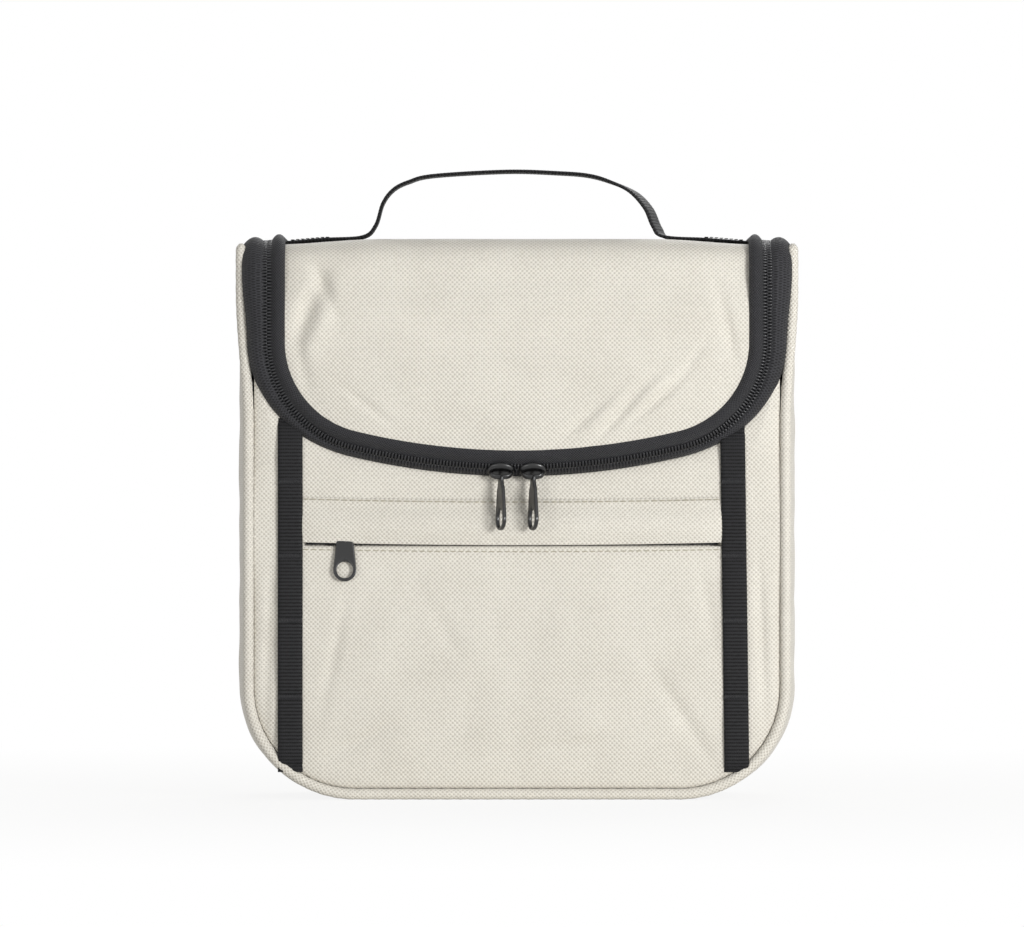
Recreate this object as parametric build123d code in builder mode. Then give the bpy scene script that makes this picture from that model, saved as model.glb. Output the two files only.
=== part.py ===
from build123d import *
import math
import os

os.makedirs("parts", exist_ok=True)

# Millimetres. +X is the bag's right as seen from the front, the front faces -Y, +Z is up.
# The origin is on the ground under the middle of the bag.

# Overall sizes
bag_half_width = 110.0
bag_top = 225.0
lid_front_y = -41.5
back_face_y = 46.5
body_corner_radius = 45.0

# Layers of the padded walls
fabric = 1.0
foam = 1.6
lining = 0.5
ply_gap = 0.15

# The zip's line round the lid, measured at the middle of the chain
zip_side_margin = 10.0
zip_low = 132.9
zip_low_radius = 282.0
zip_corner_radius = 44.0
zip_bend_radius = 14.0
zip_tilt_low = 40.0
zip_tilt_side = 11.0
zip_tilt_top = 5.0

# Zip tape, coil and slider
tape = 0.6
tape_depth = 1.4
tape_turn = 4.8
tape_under_lid = 4.0
tape_lap = 3.6
coil_inner = 0.35
coil_outer = 2.8
coil_height = 1.15
slider_length = 11.0
slider_half = 4.1
slider_plate = 1.0
bridge_rise = 5.6
bridge_inset = 1.7
bridge_leg_thick = 1.2
bridge_leg_width = 2.2
bar_radius = 0.7
slider_clear = 0.3
coil_clear = 0.25
slider_lip = 0.8
web_length = 4.0
web_thick = 0.44
web_nose = 2.2
stop_width = 2.6
stop_length = 1.2
stop_gap = 0.1
zip_end_gap = 2.6
stop_height = 1.4
slider_apart = 12.7

# Pull tabs
pull_length = 24.0
pull_thick = 1.4
pull_neck = 6.4
pull_ring = 9.3
pull_hole = 6.6
pull_eye = 2.5
pull_eye_hole = 1.25
pull_yaw = 21.0
pull_lean = 8.0

# Lid
lid_seam = 6.4
lid_rear_y = 46.2
lid_foam_margin = 10.0

# Front panel and piping
front_step = 6.0
piping_radius = 2.2
piping_wall = 0.6
piping_inset = 2.4
piping_top = 174.0
panel_clear = 0.1
mouth_clear = 1.1
hinge_drop = 4.0
gusset_drop = 3.0
gusset_front_round = 8.0
hinge_tape_height = 10.0
hinge_tape_margin = 2.0
binding_width = 3.0
binding_thick = 0.6

# Front pocket
pocket_seam_z = 118.2
pocket_lip_z = 103.2
pocket_edge_z = 101.8
pocket_zip_z = 109.0
pocket_low_z = 14.0
pocket_high_z = 123.4
pocket_left_x = -90.0
pocket_right_x = 86.0
pocket_zip_recess = 2.8
pocket_depth = 4.7
lip_stand = 2.6
pocket_coil_outer = 2.1
pocket_coil_height = 0.8
pocket_slider_length = 9.0
pocket_slider_half = 3.2
pocket_slider_x = -71.5
pocket_slider_plate = 0.8
pocket_pull_gap = 2.0
pocket_pull_thick = 1.1
pocket_pull_lean = 8.0
pocket_pull_length = 21.6
window_side = 4.0
window_low = 2.0
window_clear = 0.1
pocket_stop_width = 1.4
pocket_stop_height = 4.0
pocket_stop_inset = 0.4
pocket_bridge_leg = 2.6
pocket_bridge_width = 1.2

# Webbing straps down the front
strap_width = 10.0
strap_thick = 1.2
strap_left_x = -90.8
strap_right_top_x = 86.2
strap_right_low_x = 88.0
strap_low_z = 11.0
strap_high_z = 156.0
tack_levels = (127.4, 97.8, 71.8, 41.4)
tack_height = 1.6
tack_thick = 0.4

# Handle
handle_width = 20.0
handle_thick = 1.6
tail_gap = 0.1
tail_left_x = -61.6
tail_right_x = 58.0
handle_gap = 0.1
handle_arch = (
    (-62.6, -3.0),
    (-54.0, 19.5),
    (-36.0, 26.5),
    (16.0, 27.3),
    (38.0, 23.8),
    (52.5, 16.0),
    (58.0, -3.0),
)
handle_bend = 9.0
stitch_thick = 0.3

# Worked out from the sizes above
zip_half_width = bag_half_width - zip_side_margin
back_panel_top = bag_top - hinge_drop
gusset_top = bag_top - gusset_drop
front_y = lid_front_y + front_step
panel_half = bag_half_width - piping_inset - piping_radius - panel_clear
panel_low = piping_inset + piping_radius + panel_clear
panel_corner = body_corner_radius - piping_inset - piping_radius - panel_clear
piping_front_y = front_y + 0.6
piping_back_y = back_face_y - 0.6
gusset_front_y = piping_front_y + piping_radius + 0.05
gusset_back_y = piping_back_y - piping_radius - 0.05
corner_x = zip_half_width - zip_corner_radius
arc_z = zip_low + zip_low_radius
corner_z = arc_z - math.sqrt((zip_low_radius - zip_corner_radius) ** 2 - corner_x**2)
low_turn = math.degrees(math.asin(corner_x / (zip_low_radius - zip_corner_radius)))
bend_y = lid_front_y + zip_bend_radius
bend_z = bag_top - zip_bend_radius
stack_lining = fabric + ply_gap + foam + ply_gap
window_low_z = pocket_low_z + window_low
panel_low_z = window_low_z + 2 * window_clear


def export(piece, name):
    """Label a finished piece and write it under its own name."""
    piece.part.label = name
    export_step(piece.part, f"parts/{name}.step")


def facing(y):
    """Plane across the bag at y, whose normal looks out of the front."""
    return Plane.XZ.offset(-y)


def smooth(value, low, high):
    """Ease from 0 at low to 1 at high."""
    t = min(max((value - low) / (high - low), 0.0), 1.0)
    return t * t * (3 - 2 * t)


def outline(half_width, low, corner, top):
    """The bag seen from the front: straight sides and top, two round lower corners."""
    with BuildSketch() as face:
        with Locations((0, (low + top) / 2)):
            Rectangle(2 * half_width, top - low)
        fillet(face.vertices().group_by(Axis.Y)[0], corner)
    return face.sketch


def mouth(grow, top):
    """The area inside the zip's line, grown evenly: a long low arc, two corner arcs, straight sides."""
    low_r = zip_low_radius + grow
    corner_r = zip_corner_radius + grow

    def corner_point(turn):
        a = math.radians(turn)
        return (corner_x + corner_r * math.sin(a), corner_z - corner_r * math.cos(a))

    start = corner_point(low_turn)
    middle = corner_point((low_turn + 90) / 2)
    end = corner_point(90)
    with BuildSketch() as face:
        with BuildLine():
            ThreePointArc((-start[0], start[1]), (0, arc_z - low_r), start)
            ThreePointArc(start, middle, end)
            Polyline(end, (end[0], top), (-end[0], top), (-end[0], end[1]))
            ThreePointArc((-end[0], end[1]), (-middle[0], middle[1]), (-start[0], start[1]))
        make_face()
    return face.sketch


def lid_side(depth, rear_y, low):
    """The lid seen from the side, at a depth below its outer face: front flap, bend and top."""
    inner = zip_bend_radius - depth
    a = math.radians(45)
    with BuildSketch() as face:
        with BuildLine():
            Line((lid_front_y + depth, low), (lid_front_y + depth, bend_z))
            ThreePointArc(
                (lid_front_y + depth, bend_z),
                (bend_y - inner * math.cos(a), bend_z + inner * math.sin(a)),
                (bend_y, bag_top - depth),
            )
            Polyline(
                (bend_y, bag_top - depth),
                (rear_y, bag_top - depth),
                (rear_y, low),
                (lid_front_y + depth, low),
            )
        make_face()
    return face.sketch


def lid_layer(depth, thick, shrink, rear_y):
    """One layer of the lid: a bent sheet trimmed to the shape inside the zip."""
    low = zip_low
    with BuildPart() as layer:
        with BuildSketch(Plane.YZ):
            add(lid_side(depth, rear_y, low))
        extrude(amount=zip_half_width, both=True)
        with BuildSketch(Plane.YZ):
            add(lid_side(depth + thick, rear_y + 1, low - 1))
        extrude(amount=zip_half_width + 1, both=True, mode=Mode.SUBTRACT)
        with BuildSketch(facing(rear_y + 5)):
            add(mouth(-shrink, bag_top + 5))
        extrude(amount=rear_y - lid_front_y + 10, mode=Mode.INTERSECT)
    return layer.part


def ribbon(points, thick):
    """Polygon round a bent strip: the points moved half a thickness to either side."""
    sides = []
    for i, point in enumerate(points):
        before = points[max(i - 1, 0)]
        after = points[min(i + 1, len(points) - 1)]
        turns = []
        for a, b in ((before, point), (point, after)):
            run = math.hypot(b[0] - a[0], b[1] - a[1])
            if run > 1e-6:
                turns.append((-(b[1] - a[1]) / run, (b[0] - a[0]) / run))
        nx = sum(t[0] for t in turns)
        ny = sum(t[1] for t in turns)
        size = math.hypot(nx, ny)
        reach = thick / 2 / max(size / len(turns), 0.6)
        sides.append((nx / size * reach, ny / size * reach))
    left = [(p[0] + s[0], p[1] + s[1]) for p, s in zip(points, sides)]
    right = [(p[0] - s[0], p[1] - s[1]) for p, s in zip(points, sides)]
    return left + right[::-1]


class Station:
    """One section across the zip: its plane, the chain's tilt and where the body tape turns."""

    def __init__(self, place, normal, outward, tilt, knee, knee_depth, lap_turn):
        self.place = place
        self.outward = outward
        self.plane = Plane(origin=place, x_dir=outward, z_dir=outward.cross(normal))
        self.tilt = math.radians(tilt)
        self.chain_depth = tape_depth + tape_turn * math.sin(self.tilt)
        self.knee = knee
        self.knee_depth = knee_depth
        self.lap_turn = math.radians(lap_turn)

    def at(self, across, above):
        """Point in the section, measured along and square to the tilted tape."""
        c, s = math.cos(self.tilt), math.sin(self.tilt)
        return (across * c + above * s, -self.chain_depth - across * s + above * c)

    def lid_tape(self):
        turn_point = (-tape_turn * math.cos(self.tilt), -tape_depth)
        return ribbon(
            [(-lid_seam - tape_under_lid, -tape_depth), turn_point, self.at(-coil_inner, 0)],
            tape,
        )

    def body_tape(self):
        knee = (self.knee, -self.knee_depth)
        lap = (
            self.knee + tape_lap * math.cos(self.lap_turn),
            -self.knee_depth - tape_lap * math.sin(self.lap_turn),
        )
        return ribbon([self.at(coil_inner, 0), self.at(coil_outer + 0.6, 0), knee, lap], tape)

    def coil(self, side):
        """Section of one half of the chain, on the lid's side (-1) or the body's (+1)."""
        low = tape / 2 + 0.02
        points = [
            (coil_inner, low),
            (coil_outer, low),
            (coil_outer, low + coil_height * 0.6),
            (coil_outer - 0.6, low + coil_height),
            (coil_inner + 0.3, low + coil_height),
            (coil_inner, low + coil_height * 0.7),
        ]
        return [self.at(side * a, w) for a, w in points]


def half_zip():
    """Stations of the right half, from the middle of the front to the rear of the top."""
    front = Vector(0, -1, 0)
    knee_low = 3.53
    knee_depth = front_step + fabric + ply_gap + tape / 2
    turns = [low_turn * i / 6 for i in range(7)] + [low_turn + (90 - low_turn) * i / 10 for i in range(1, 11)]
    stations = []
    for turn in turns:
        a = math.radians(turn)
        if turn <= low_turn + 1e-6:
            x, z = zip_low_radius * math.sin(a), arc_z - zip_low_radius * math.cos(a)
        else:
            x, z = corner_x + zip_corner_radius * math.sin(a), corner_z - zip_corner_radius * math.cos(a)
        ease = smooth(turn, low_turn, 90)
        tilt = zip_tilt_low + (zip_tilt_side - zip_tilt_low) * ease
        knee = knee_low + (6.8 - knee_low) * smooth(turn, 45, 90)
        outward = Vector(math.sin(a), 0, -math.cos(a))
        lap_turn = 90 * smooth(turn, 40, 65)
        stations.append(
            Station(Vector(x, lid_front_y, z), front, outward, tilt, knee, knee_depth, lap_turn)
        )
    side = Vector(1, 0, 0)
    knee_high = bag_half_width - fabric - 0.1 - tape / 2 - zip_half_width
    for z, knee in ((194.0, 7.7), (204.0, knee_high), (bend_z, knee_high)):
        place = Vector(zip_half_width, lid_front_y, z)
        stations.append(Station(place, front, side, zip_tilt_side, knee, knee_depth, 90))
    top_depth = bag_top - gusset_top
    for i in range(1, 7):
        phi = math.radians(15 * i)
        normal = Vector(0, -math.cos(phi), math.sin(phi))
        place = Vector(zip_half_width, bend_y, bend_z) + normal * zip_bend_radius
        ease = i / 6
        tilt = zip_tilt_side + (zip_tilt_top - zip_tilt_side) * ease
        depth = knee_depth + (top_depth - knee_depth) * ease
        stations.append(Station(place, normal, side, tilt, knee_high, depth, 90))
    for y in (0.0, gusset_back_y - zip_end_gap):
        place = Vector(zip_half_width, y, bag_top)
        stations.append(Station(place, Vector(0, 0, 1), side, zip_tilt_top, knee_high, top_depth, 90))
    return stations


right_half = half_zip()


def section_points(station, kind, mirrored):
    """One section as points in space, on the right half or mirrored to the left."""
    local = kind(station)
    points = [station.plane.from_local_coords(Vector(x, y, 0)) for x, y in local]
    if mirrored:
        points = [Vector(-p.X, p.Y, p.Z) for p in points]
    return points


def along_zip(kind):
    """A ruled solid through the same section at every station, from one rear end to the other."""
    rings = [section_points(s, kind, True) for s in right_half[:0:-1]]
    rings += [section_points(s, kind, False) for s in right_half]
    return Solid.make_loft([Wire.make_polygon(ring, close=True) for ring in rings], ruled=True)


def band_edge(grow):
    """Face inside the edge of the black band on the front, grown evenly and open to the top."""
    right = []
    for station in right_half:
        if station.place.Y == lid_front_y:
            edge = station.place + station.outward * (station.knee + grow)
            right.append((edge.X, edge.Z))
    right.append((right[-1][0], bag_top + 5))
    left = [(-x, z) for x, z in right[:0:-1]]
    with BuildSketch() as face:
        with BuildLine():
            Polyline(*left, *right, close=True)
        make_face()
    return face.sketch


# Outer panel of the front, with the window that the pocket's zip sits in
with BuildPart() as front_panel:
    with BuildSketch(facing(front_y + fabric)):
        add(outline(panel_half, panel_low, panel_corner, bag_top))
        add(band_edge(mouth_clear), mode=Mode.SUBTRACT)
    extrude(amount=fabric)
    with BuildSketch(facing(front_y + fabric)):
        with Locations(((pocket_left_x + pocket_right_x) / 2, (pocket_seam_z + window_low_z) / 2)):
            Rectangle(pocket_right_x - pocket_left_x - 2 * window_side, pocket_seam_z - window_low_z)
    extrude(amount=fabric, mode=Mode.SUBTRACT)
export(front_panel, "front_panel")

# Pocket panel, filling the front below the pocket's zip
with BuildPart() as pocket_panel:
    with BuildSketch(facing(front_y + fabric)):
        with Locations(((pocket_left_x + pocket_right_x) / 2, (pocket_edge_z + panel_low_z) / 2)):
            Rectangle(
                pocket_right_x - pocket_left_x - 2 * (window_side + window_clear), pocket_edge_z - panel_low_z
            )
    extrude(amount=fabric)
export(pocket_panel, "pocket_panel")

# Flap over the pocket's zip: seamed to the panel above, standing out at its lip
with BuildPart() as pocket_flap:
    with BuildSketch(Plane.YZ.offset(pocket_left_x + 5)):
        with BuildLine():
            Polyline(
                (front_y - 0.1, pocket_seam_z + 4),
                (front_y - 0.1, pocket_seam_z),
                (front_y - lip_stand + 0.3, pocket_seam_z - 7),
                (front_y - lip_stand, pocket_lip_z),
                (front_y - lip_stand - fabric, pocket_lip_z),
                (front_y - lip_stand + 0.3 - fabric, pocket_seam_z - 7),
                (front_y - 0.1 - fabric, pocket_seam_z + 0.4),
                (front_y - 0.1 - fabric, pocket_seam_z + 4),
                close=True,
            )
        make_face()
    extrude(amount=pocket_right_x - pocket_left_x - 10)
export(pocket_flap, "pocket_flap")

# Back wall of the pocket: a shallow pan behind the front panel
pocket_middle = (pocket_left_x + pocket_right_x) / 2
pocket_width = pocket_right_x - pocket_left_x
pocket_height = pocket_high_z - pocket_low_z
pan_y = front_y + fabric + ply_gap
with BuildPart() as pocket_backing:
    for inset, deep in ((0.0, 0.0), (4.0, pocket_depth)):
        with BuildSketch(facing(pan_y + deep)):
            with Locations((pocket_middle, (pocket_low_z + pocket_high_z) / 2)):
                Rectangle(pocket_width - 2 * inset, pocket_height - 2 * inset)
    loft()
    for inset, deep in ((lining, -0.01), (4.0 + lining, pocket_depth - lining)):
        with BuildSketch(facing(pan_y + deep)):
            with Locations((pocket_middle, (pocket_low_z + pocket_high_z) / 2)):
                Rectangle(pocket_width - 2 * inset, pocket_height - 2 * inset)
    loft(mode=Mode.SUBTRACT)
export(pocket_backing, "pocket_backing")

# Padding and lining of the front
inner_half = bag_half_width - fabric - ply_gap - foam - ply_gap - lining
inner_low = bag_half_width - inner_half
inner_corner = body_corner_radius - inner_low
front_foam_y = pan_y + pocket_depth + ply_gap
front_lining_y = front_foam_y + foam + ply_gap


def front_layer(near_y, thick, margin):
    """A flat layer of the front, inside the gusset's lining and below the zip's band."""
    with BuildPart() as layer:
        with BuildSketch(facing(near_y + thick)):
            add(outline(inner_half - 0.1, inner_low + 0.1, inner_corner, bag_top))
            add(band_edge(mouth_clear + margin), mode=Mode.SUBTRACT)
        extrude(amount=thick)
    return layer.part


with BuildPart() as front_foam:
    add(front_layer(front_foam_y, foam, 1.0))
export(front_foam, "front_foam")

with BuildPart() as front_lining:
    add(front_layer(front_lining_y, lining, 0.0))
export(front_lining, "front_lining")


def gusset_band(outer, thick, near_y, far_y, top):
    """U-shaped wall that runs down one side, under the bag and up the other."""
    half = bag_half_width - outer
    with BuildPart() as band:
        with BuildSketch(facing(far_y)):
            add(outline(half, outer, body_corner_radius - outer, top))
            add(
                outline(half - thick, outer + thick, body_corner_radius - outer - thick, top + 1),
                mode=Mode.SUBTRACT,
            )
        extrude(amount=far_y - near_y)
    return band.part


# Gusset: sides and bottom in one strip, with its padding and lining
with BuildPart() as side_gusset:
    add(gusset_band(0, fabric, gusset_front_y, gusset_back_y, gusset_top))
    fillet(side_gusset.edges().filter_by(Axis.X).group_by(Axis.Z)[-1].sort_by(Axis.Y)[:2], gusset_front_round)
export(side_gusset, "side_gusset")

lap_room = front_y + fabric + ply_gap + tape + tape_lap + 0.3
with BuildPart() as gusset_foam:
    add(gusset_band(fabric + ply_gap, foam, lap_room, gusset_back_y, gusset_top - tape_lap - 1))
    fillet(gusset_foam.edges().filter_by(Axis.X).group_by(Axis.Z)[-1].sort_by(Axis.Y)[:2], gusset_front_round)
export(gusset_foam, "gusset_foam")

with BuildPart() as gusset_lining:
    add(
        gusset_band(fabric + foam + 2 * ply_gap, lining, lap_room, gusset_back_y, gusset_top - tape_lap - 1)
    )
    fillet(gusset_lining.edges().filter_by(Axis.X).group_by(Axis.Z)[-1].sort_by(Axis.Y)[:2], gusset_front_round)
export(gusset_lining, "gusset_lining")

# Back: outer panel, padding and lining
with BuildPart() as back_panel:
    with BuildSketch(facing(back_face_y)):
        add(outline(panel_half, panel_low, panel_corner, back_panel_top))
    extrude(amount=fabric)
export(back_panel, "back_panel")

back_foam_y = back_face_y - fabric - ply_gap
with BuildPart() as back_foam:
    with BuildSketch(facing(back_foam_y)):
        add(outline(panel_half - 1, panel_low + 1, panel_corner - 1, back_panel_top - 1))
    extrude(amount=foam)
export(back_foam, "back_foam")

back_lining_y = back_foam_y - foam - ply_gap
with BuildPart() as back_lining:
    with BuildSketch(facing(back_lining_y)):
        add(outline(panel_half, panel_low, panel_corner, back_panel_top))
    extrude(amount=lining)
export(back_lining, "back_lining")


def piping_path(y, top):
    """Line of the piping: down one side, round both lower corners and up the other."""
    half = bag_half_width - piping_inset
    corner = body_corner_radius - piping_inset
    with BuildLine(facing(y)) as path:
        FilletPolyline(
            (-half, top), (-half, piping_inset), (half, piping_inset), (half, top), radius=corner
        )
    return path


# Piping round the front and back edges: a fabric sleeve over a cord
for place, y, top in (("front", piping_front_y, piping_top), ("back", piping_back_y, back_panel_top)):
    path = piping_path(y, top)
    with BuildPart() as piping:
        with BuildSketch(Plane(origin=path.line @ 0, z_dir=path.line % 0)):
            Circle(piping_radius)
            Circle(piping_radius - piping_wall, mode=Mode.SUBTRACT)
        sweep(path=path.line)
    export(piping, f"{place}_piping")
    with BuildPart() as piping_cord:
        with BuildSketch(Plane(origin=path.line @ 0, z_dir=path.line % 0)):
            Circle(piping_radius - piping_wall - 0.1)
        sweep(path=path.line)
    export(piping_cord, f"{place}_piping_cord")

# Tapes that bind the seams inside, in the corner between each panel and the gusset
for place, near_y, top in (
    ("front", front_lining_y + lining + 0.05, piping_top - 8),
    ("back", back_lining_y - lining - 0.05 - binding_width, gusset_top - 8),
):
    with BuildPart() as binding:
        add(gusset_band(inner_low + 0.05, binding_thick, near_y, near_y + binding_width, top))
    export(binding, f"{place}_binding")

# Tape over the seam that joins the lid to the back
with BuildPart() as hinge_seam_tape:
    with BuildSketch(facing(back_lining_y - lining - 0.05)):
        with Locations((0, back_panel_top - hinge_tape_height / 2)):
            Rectangle(2 * (zip_half_width - hinge_tape_margin), hinge_tape_height)
    extrude(amount=lining)
export(hinge_seam_tape, "hinge_seam_tape")

# Webbing straps down the front, trimmed under the zip's band
for place, top_x, low_x in (
    ("left", strap_left_x, strap_left_x),
    ("right", strap_right_top_x, strap_right_low_x),
):
    half = strap_width / 2
    with BuildPart() as webbing:
        with BuildSketch(facing(front_y - 0.1)):
            with BuildLine():
                Polyline(
                    (top_x - half, strap_high_z),
                    (top_x + half, strap_high_z),
                    (low_x + half, strap_low_z),
                    (low_x - half, strap_low_z),
                    close=True,
                )
            make_face()
            add(band_edge(mouth_clear + 1.0), mode=Mode.SUBTRACT)
            add(outline(panel_half - 0.2, panel_low, panel_corner, bag_top), mode=Mode.INTERSECT)
        extrude(amount=strap_thick)
    export(webbing, f"{place}_webbing")

# Bar tacks across the straps
tack_spots = []
for level in tack_levels:
    lean = (level - strap_low_z) / (strap_high_z - strap_low_z)
    right_x = strap_right_low_x + (strap_right_top_x - strap_right_low_x) * lean
    tack_spots += [(strap_left_x, level), (right_x, level)]
with BuildPart() as webbing_bar_tacks:
    with BuildSketch(facing(front_y - 0.1 - strap_thick)):
        with Locations(*tack_spots):
            Rectangle(strap_width - 1, tack_height)
    extrude(amount=tack_thick)
export(webbing_bar_tacks, "webbing_bar_tacks")

# Main zip: tape and coil on the bag's side and on the lid's side
for name, kind in (
    ("main_zip_tape_body", Station.body_tape),
    ("main_zip_coil_body", lambda s: s.coil(1)),
    ("main_zip_tape_lid", Station.lid_tape),
    ("main_zip_coil_lid", lambda s: s.coil(-1)),
):
    with BuildPart() as zip_half:
        add(along_zip(kind))
    export(zip_half, name)

# Metal stops at both rear ends of the zip
rear = right_half[-1]
stop_z = rear.place.Z - rear.chain_depth + 0.1
stop_y = rear.place.Y + stop_gap + stop_length / 2
with BuildPart() as main_zip_stops:
    with BuildSketch(Plane.XY.offset(stop_z)):
        with GridLocations(2 * (zip_half_width + coil_inner + stop_width / 2), 0, 2, 1):
            with Locations((0, stop_y)):
                Rectangle(stop_width, stop_length)
    extrude(amount=stop_height)
export(main_zip_stops, "main_zip_stops")

# Lid: outer fabric, padding and lining
with BuildPart() as lid_panel:
    add(lid_layer(0, fabric, lid_seam, lid_rear_y))
export(lid_panel, "lid_panel")

with BuildPart() as lid_foam:
    add(lid_layer(fabric + ply_gap, foam, lid_seam + lid_foam_margin, lid_rear_y - 2))
export(lid_foam, "lid_foam")

with BuildPart() as lid_lining:
    add(lid_layer(stack_lining, lining, lid_seam + 0.2, lid_rear_y))
export(lid_lining, "lid_lining")

# Webbing tails of the handle, sewn on the lid and into the zip's seam
tail_z = bag_top + tail_gap
tail_far_x = zip_half_width - lid_seam
with BuildPart() as handle_tails:
    with BuildSketch(Plane.XY.offset(tail_z)):
        for near_x, far_x in ((tail_left_x, -tail_far_x), (tail_right_x, tail_far_x)):
            with Locations(((near_x + far_x) / 2, 0)):
                Rectangle(abs(far_x - near_x), handle_width)
    extrude(amount=handle_thick)
export(handle_tails, "handle_tails")

# Box of stitches that holds each tail down
with BuildPart() as handle_tack_stitches:
    with BuildSketch(Plane.XY.offset(tail_z + handle_thick)):
        with Locations((-tail_far_x + 10, 0), (tail_far_x - 10, 0)):
            Rectangle(14, handle_width - 5)
            Rectangle(12.6, handle_width - 6.4, mode=Mode.SUBTRACT)
    extrude(amount=stitch_thick)
export(handle_tack_stitches, "handle_tack_stitches")

# Standing loop of the handle: an arch of webbing with rounded lower ends, so that it can swing
pivot_z = tail_z + handle_thick + handle_gap + handle_width / 2
with BuildPart() as handle_loop:
    with BuildSketch(Plane.XZ):
        with BuildLine():
            FilletPolyline(*[(x, bag_top + rise) for x, rise in handle_arch], radius=handle_bend)
        trace(line_width=handle_thick)
    extrude(amount=handle_width / 2, both=True)
    with BuildSketch(Plane.YZ):
        with Locations((0, pivot_z)):
            Circle(handle_width / 2)
        with Locations((0, pivot_z + 15)):
            Rectangle(handle_width, 30)
    extrude(amount=zip_half_width, both=True, mode=Mode.INTERSECT)
export(handle_loop, "handle_loop")


def slider_body(plane, length, half, plate, coil_top, nose):
    """Slider round a zip: two plates joined by a thin web at the nose, with lips over the tapes."""
    inner_w = -tape / 2 - slider_clear
    outer_w = coil_top + coil_clear
    with BuildPart() as body:
        with BuildSketch(plane.offset(inner_w - plate)):
            RectangleRounded(length, 2 * half, half * 0.45)
        extrude(amount=plate)
        with BuildSketch(plane.offset(outer_w)):
            RectangleRounded(length, 2 * half, half * 0.45)
        extrude(amount=plate)
        with BuildSketch(plane.offset(tape / 2 + slider_clear)):
            with GridLocations(0, 2 * half - slider_lip, 1, 2):
                Rectangle(length * 0.7, slider_lip)
        extrude(amount=outer_w - tape / 2 - slider_clear)
        with BuildSketch(plane.offset(inner_w)):
            with Locations((nose * (length / 2 - web_nose), 0)):
                Rectangle(web_length, web_thick)
        extrude(amount=outer_w - inner_w)
    return body.part, outer_w + plate


# Main sliders, side by side at the middle of the front
chain_depth = tape_depth + tape_turn * math.sin(math.radians(zip_tilt_low))
chain_y = lid_front_y + chain_depth
rest_turn = math.degrees(math.asin(slider_apart / 2 / zip_low_radius))
tilt_low = math.radians(zip_tilt_low)
bar_points = {}
for side, sign in (("left", -1), ("right", 1)):
    a = math.radians(sign * rest_turn)
    outward = Vector(math.sin(a), 0, -math.cos(a))
    across = outward * math.cos(tilt_low) + Vector(0, math.sin(tilt_low), 0)
    normal = outward * math.sin(tilt_low) - Vector(0, math.cos(tilt_low), 0)
    centre = Vector(zip_low_radius * math.sin(a), chain_y, arc_z - zip_low_radius * math.cos(a))
    plane = Plane(origin=centre, x_dir=across.cross(normal), z_dir=normal)
    body, top_w = slider_body(
        plane, slider_length, slider_half, slider_plate, tape / 2 + 0.02 + coil_height, sign
    )
    with BuildPart() as slider:
        add(body)
        with BuildSketch(plane.offset(top_w)):
            with GridLocations(slider_length - 2 * bridge_inset, 0, 2, 1):
                Rectangle(bridge_leg_thick, bridge_leg_width)
        extrude(amount=bridge_rise + bar_radius - top_w)
        with BuildSketch(Plane(origin=centre + normal * bridge_rise, z_dir=plane.x_dir)):
            Circle(bar_radius)
        extrude(amount=(slider_length - 2 * bridge_inset) / 2, both=True)
    export(slider, f"{side}_slider")
    bar_points[side] = centre + normal * bridge_rise

# Pull tabs of the main sliders, hanging from the bridges and turned nearly edge-on
for side in ("left", "right"):
    lean = math.radians(pull_lean)
    yaw = math.radians(pull_yaw)
    up = Vector(0, math.sin(lean), math.cos(lean))
    face = Vector(1, 0, 0) * math.cos(yaw) + up.cross(Vector(1, 0, 0)) * math.sin(yaw)
    plane = Plane(origin=bar_points[side], x_dir=up.cross(face), z_dir=face)
    ring_y = -(pull_length - pull_eye - pull_ring / 2)
    with BuildPart() as pull:
        with BuildSketch(plane):
            Circle(pull_eye)
            with Locations((0, ring_y)):
                Circle(pull_ring / 2)
            with BuildLine():
                Polyline(
                    (-pull_eye * 0.95, -0.6),
                    (-pull_neck / 2, -4.5),
                    (-pull_neck / 2, ring_y + 3.2),
                    (pull_neck / 2, ring_y + 3.2),
                    (pull_neck / 2, -4.5),
                    (pull_eye * 0.95, -0.6),
                    close=True,
                )
            make_face()
            Circle(pull_eye_hole, mode=Mode.SUBTRACT)
            with Locations((0, ring_y)):
                Circle(pull_hole / 2, mode=Mode.SUBTRACT)
        extrude(amount=pull_thick / 2, both=True)
    export(pull, f"{side}_pull")
    print(side, "bar", tuple(bar_points[side]), "arc centre z", arc_z)

# Pocket zip: two tapes that step back from the panels, and the two halves of its coil
pocket_tape_y = front_y + pocket_zip_recess
sewn_y = front_y + fabric + ply_gap + tape / 2
zip_from_x = pocket_left_x + 5
zip_to_x = pocket_right_x - 5
for place, sign, sewn_z in (("upper", 1, pocket_seam_z), ("lower", -1, pocket_edge_z)):
    with BuildPart() as pocket_tape:
        with BuildSketch(Plane.YZ.offset(zip_from_x)):
            with BuildLine():
                Polyline(
                    *ribbon(
                        [
                            (pocket_tape_y, pocket_zip_z + sign * coil_inner),
                            (pocket_tape_y, pocket_zip_z + sign * 3.5),
                            (sewn_y, sewn_z - sign * 0.2),
                            (sewn_y, sewn_z + sign * 3.3),
                        ],
                        tape,
                    ),
                    close=True,
                )
            make_face()
        extrude(amount=zip_to_x - zip_from_x)
    export(pocket_tape, f"pocket_zip_tape_{place}")
    with BuildPart() as pocket_coil:
        with BuildSketch(facing(pocket_tape_y - tape / 2 - 0.02)):
            with Locations(
                ((zip_from_x + zip_to_x) / 2, pocket_zip_z + sign * (coil_inner + pocket_coil_outer) / 2)
            ):
                Rectangle(zip_to_x - zip_from_x - 4, pocket_coil_outer - coil_inner)
        extrude(amount=pocket_coil_height)
    export(pocket_coil, f"pocket_zip_coil_{place}")

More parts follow.
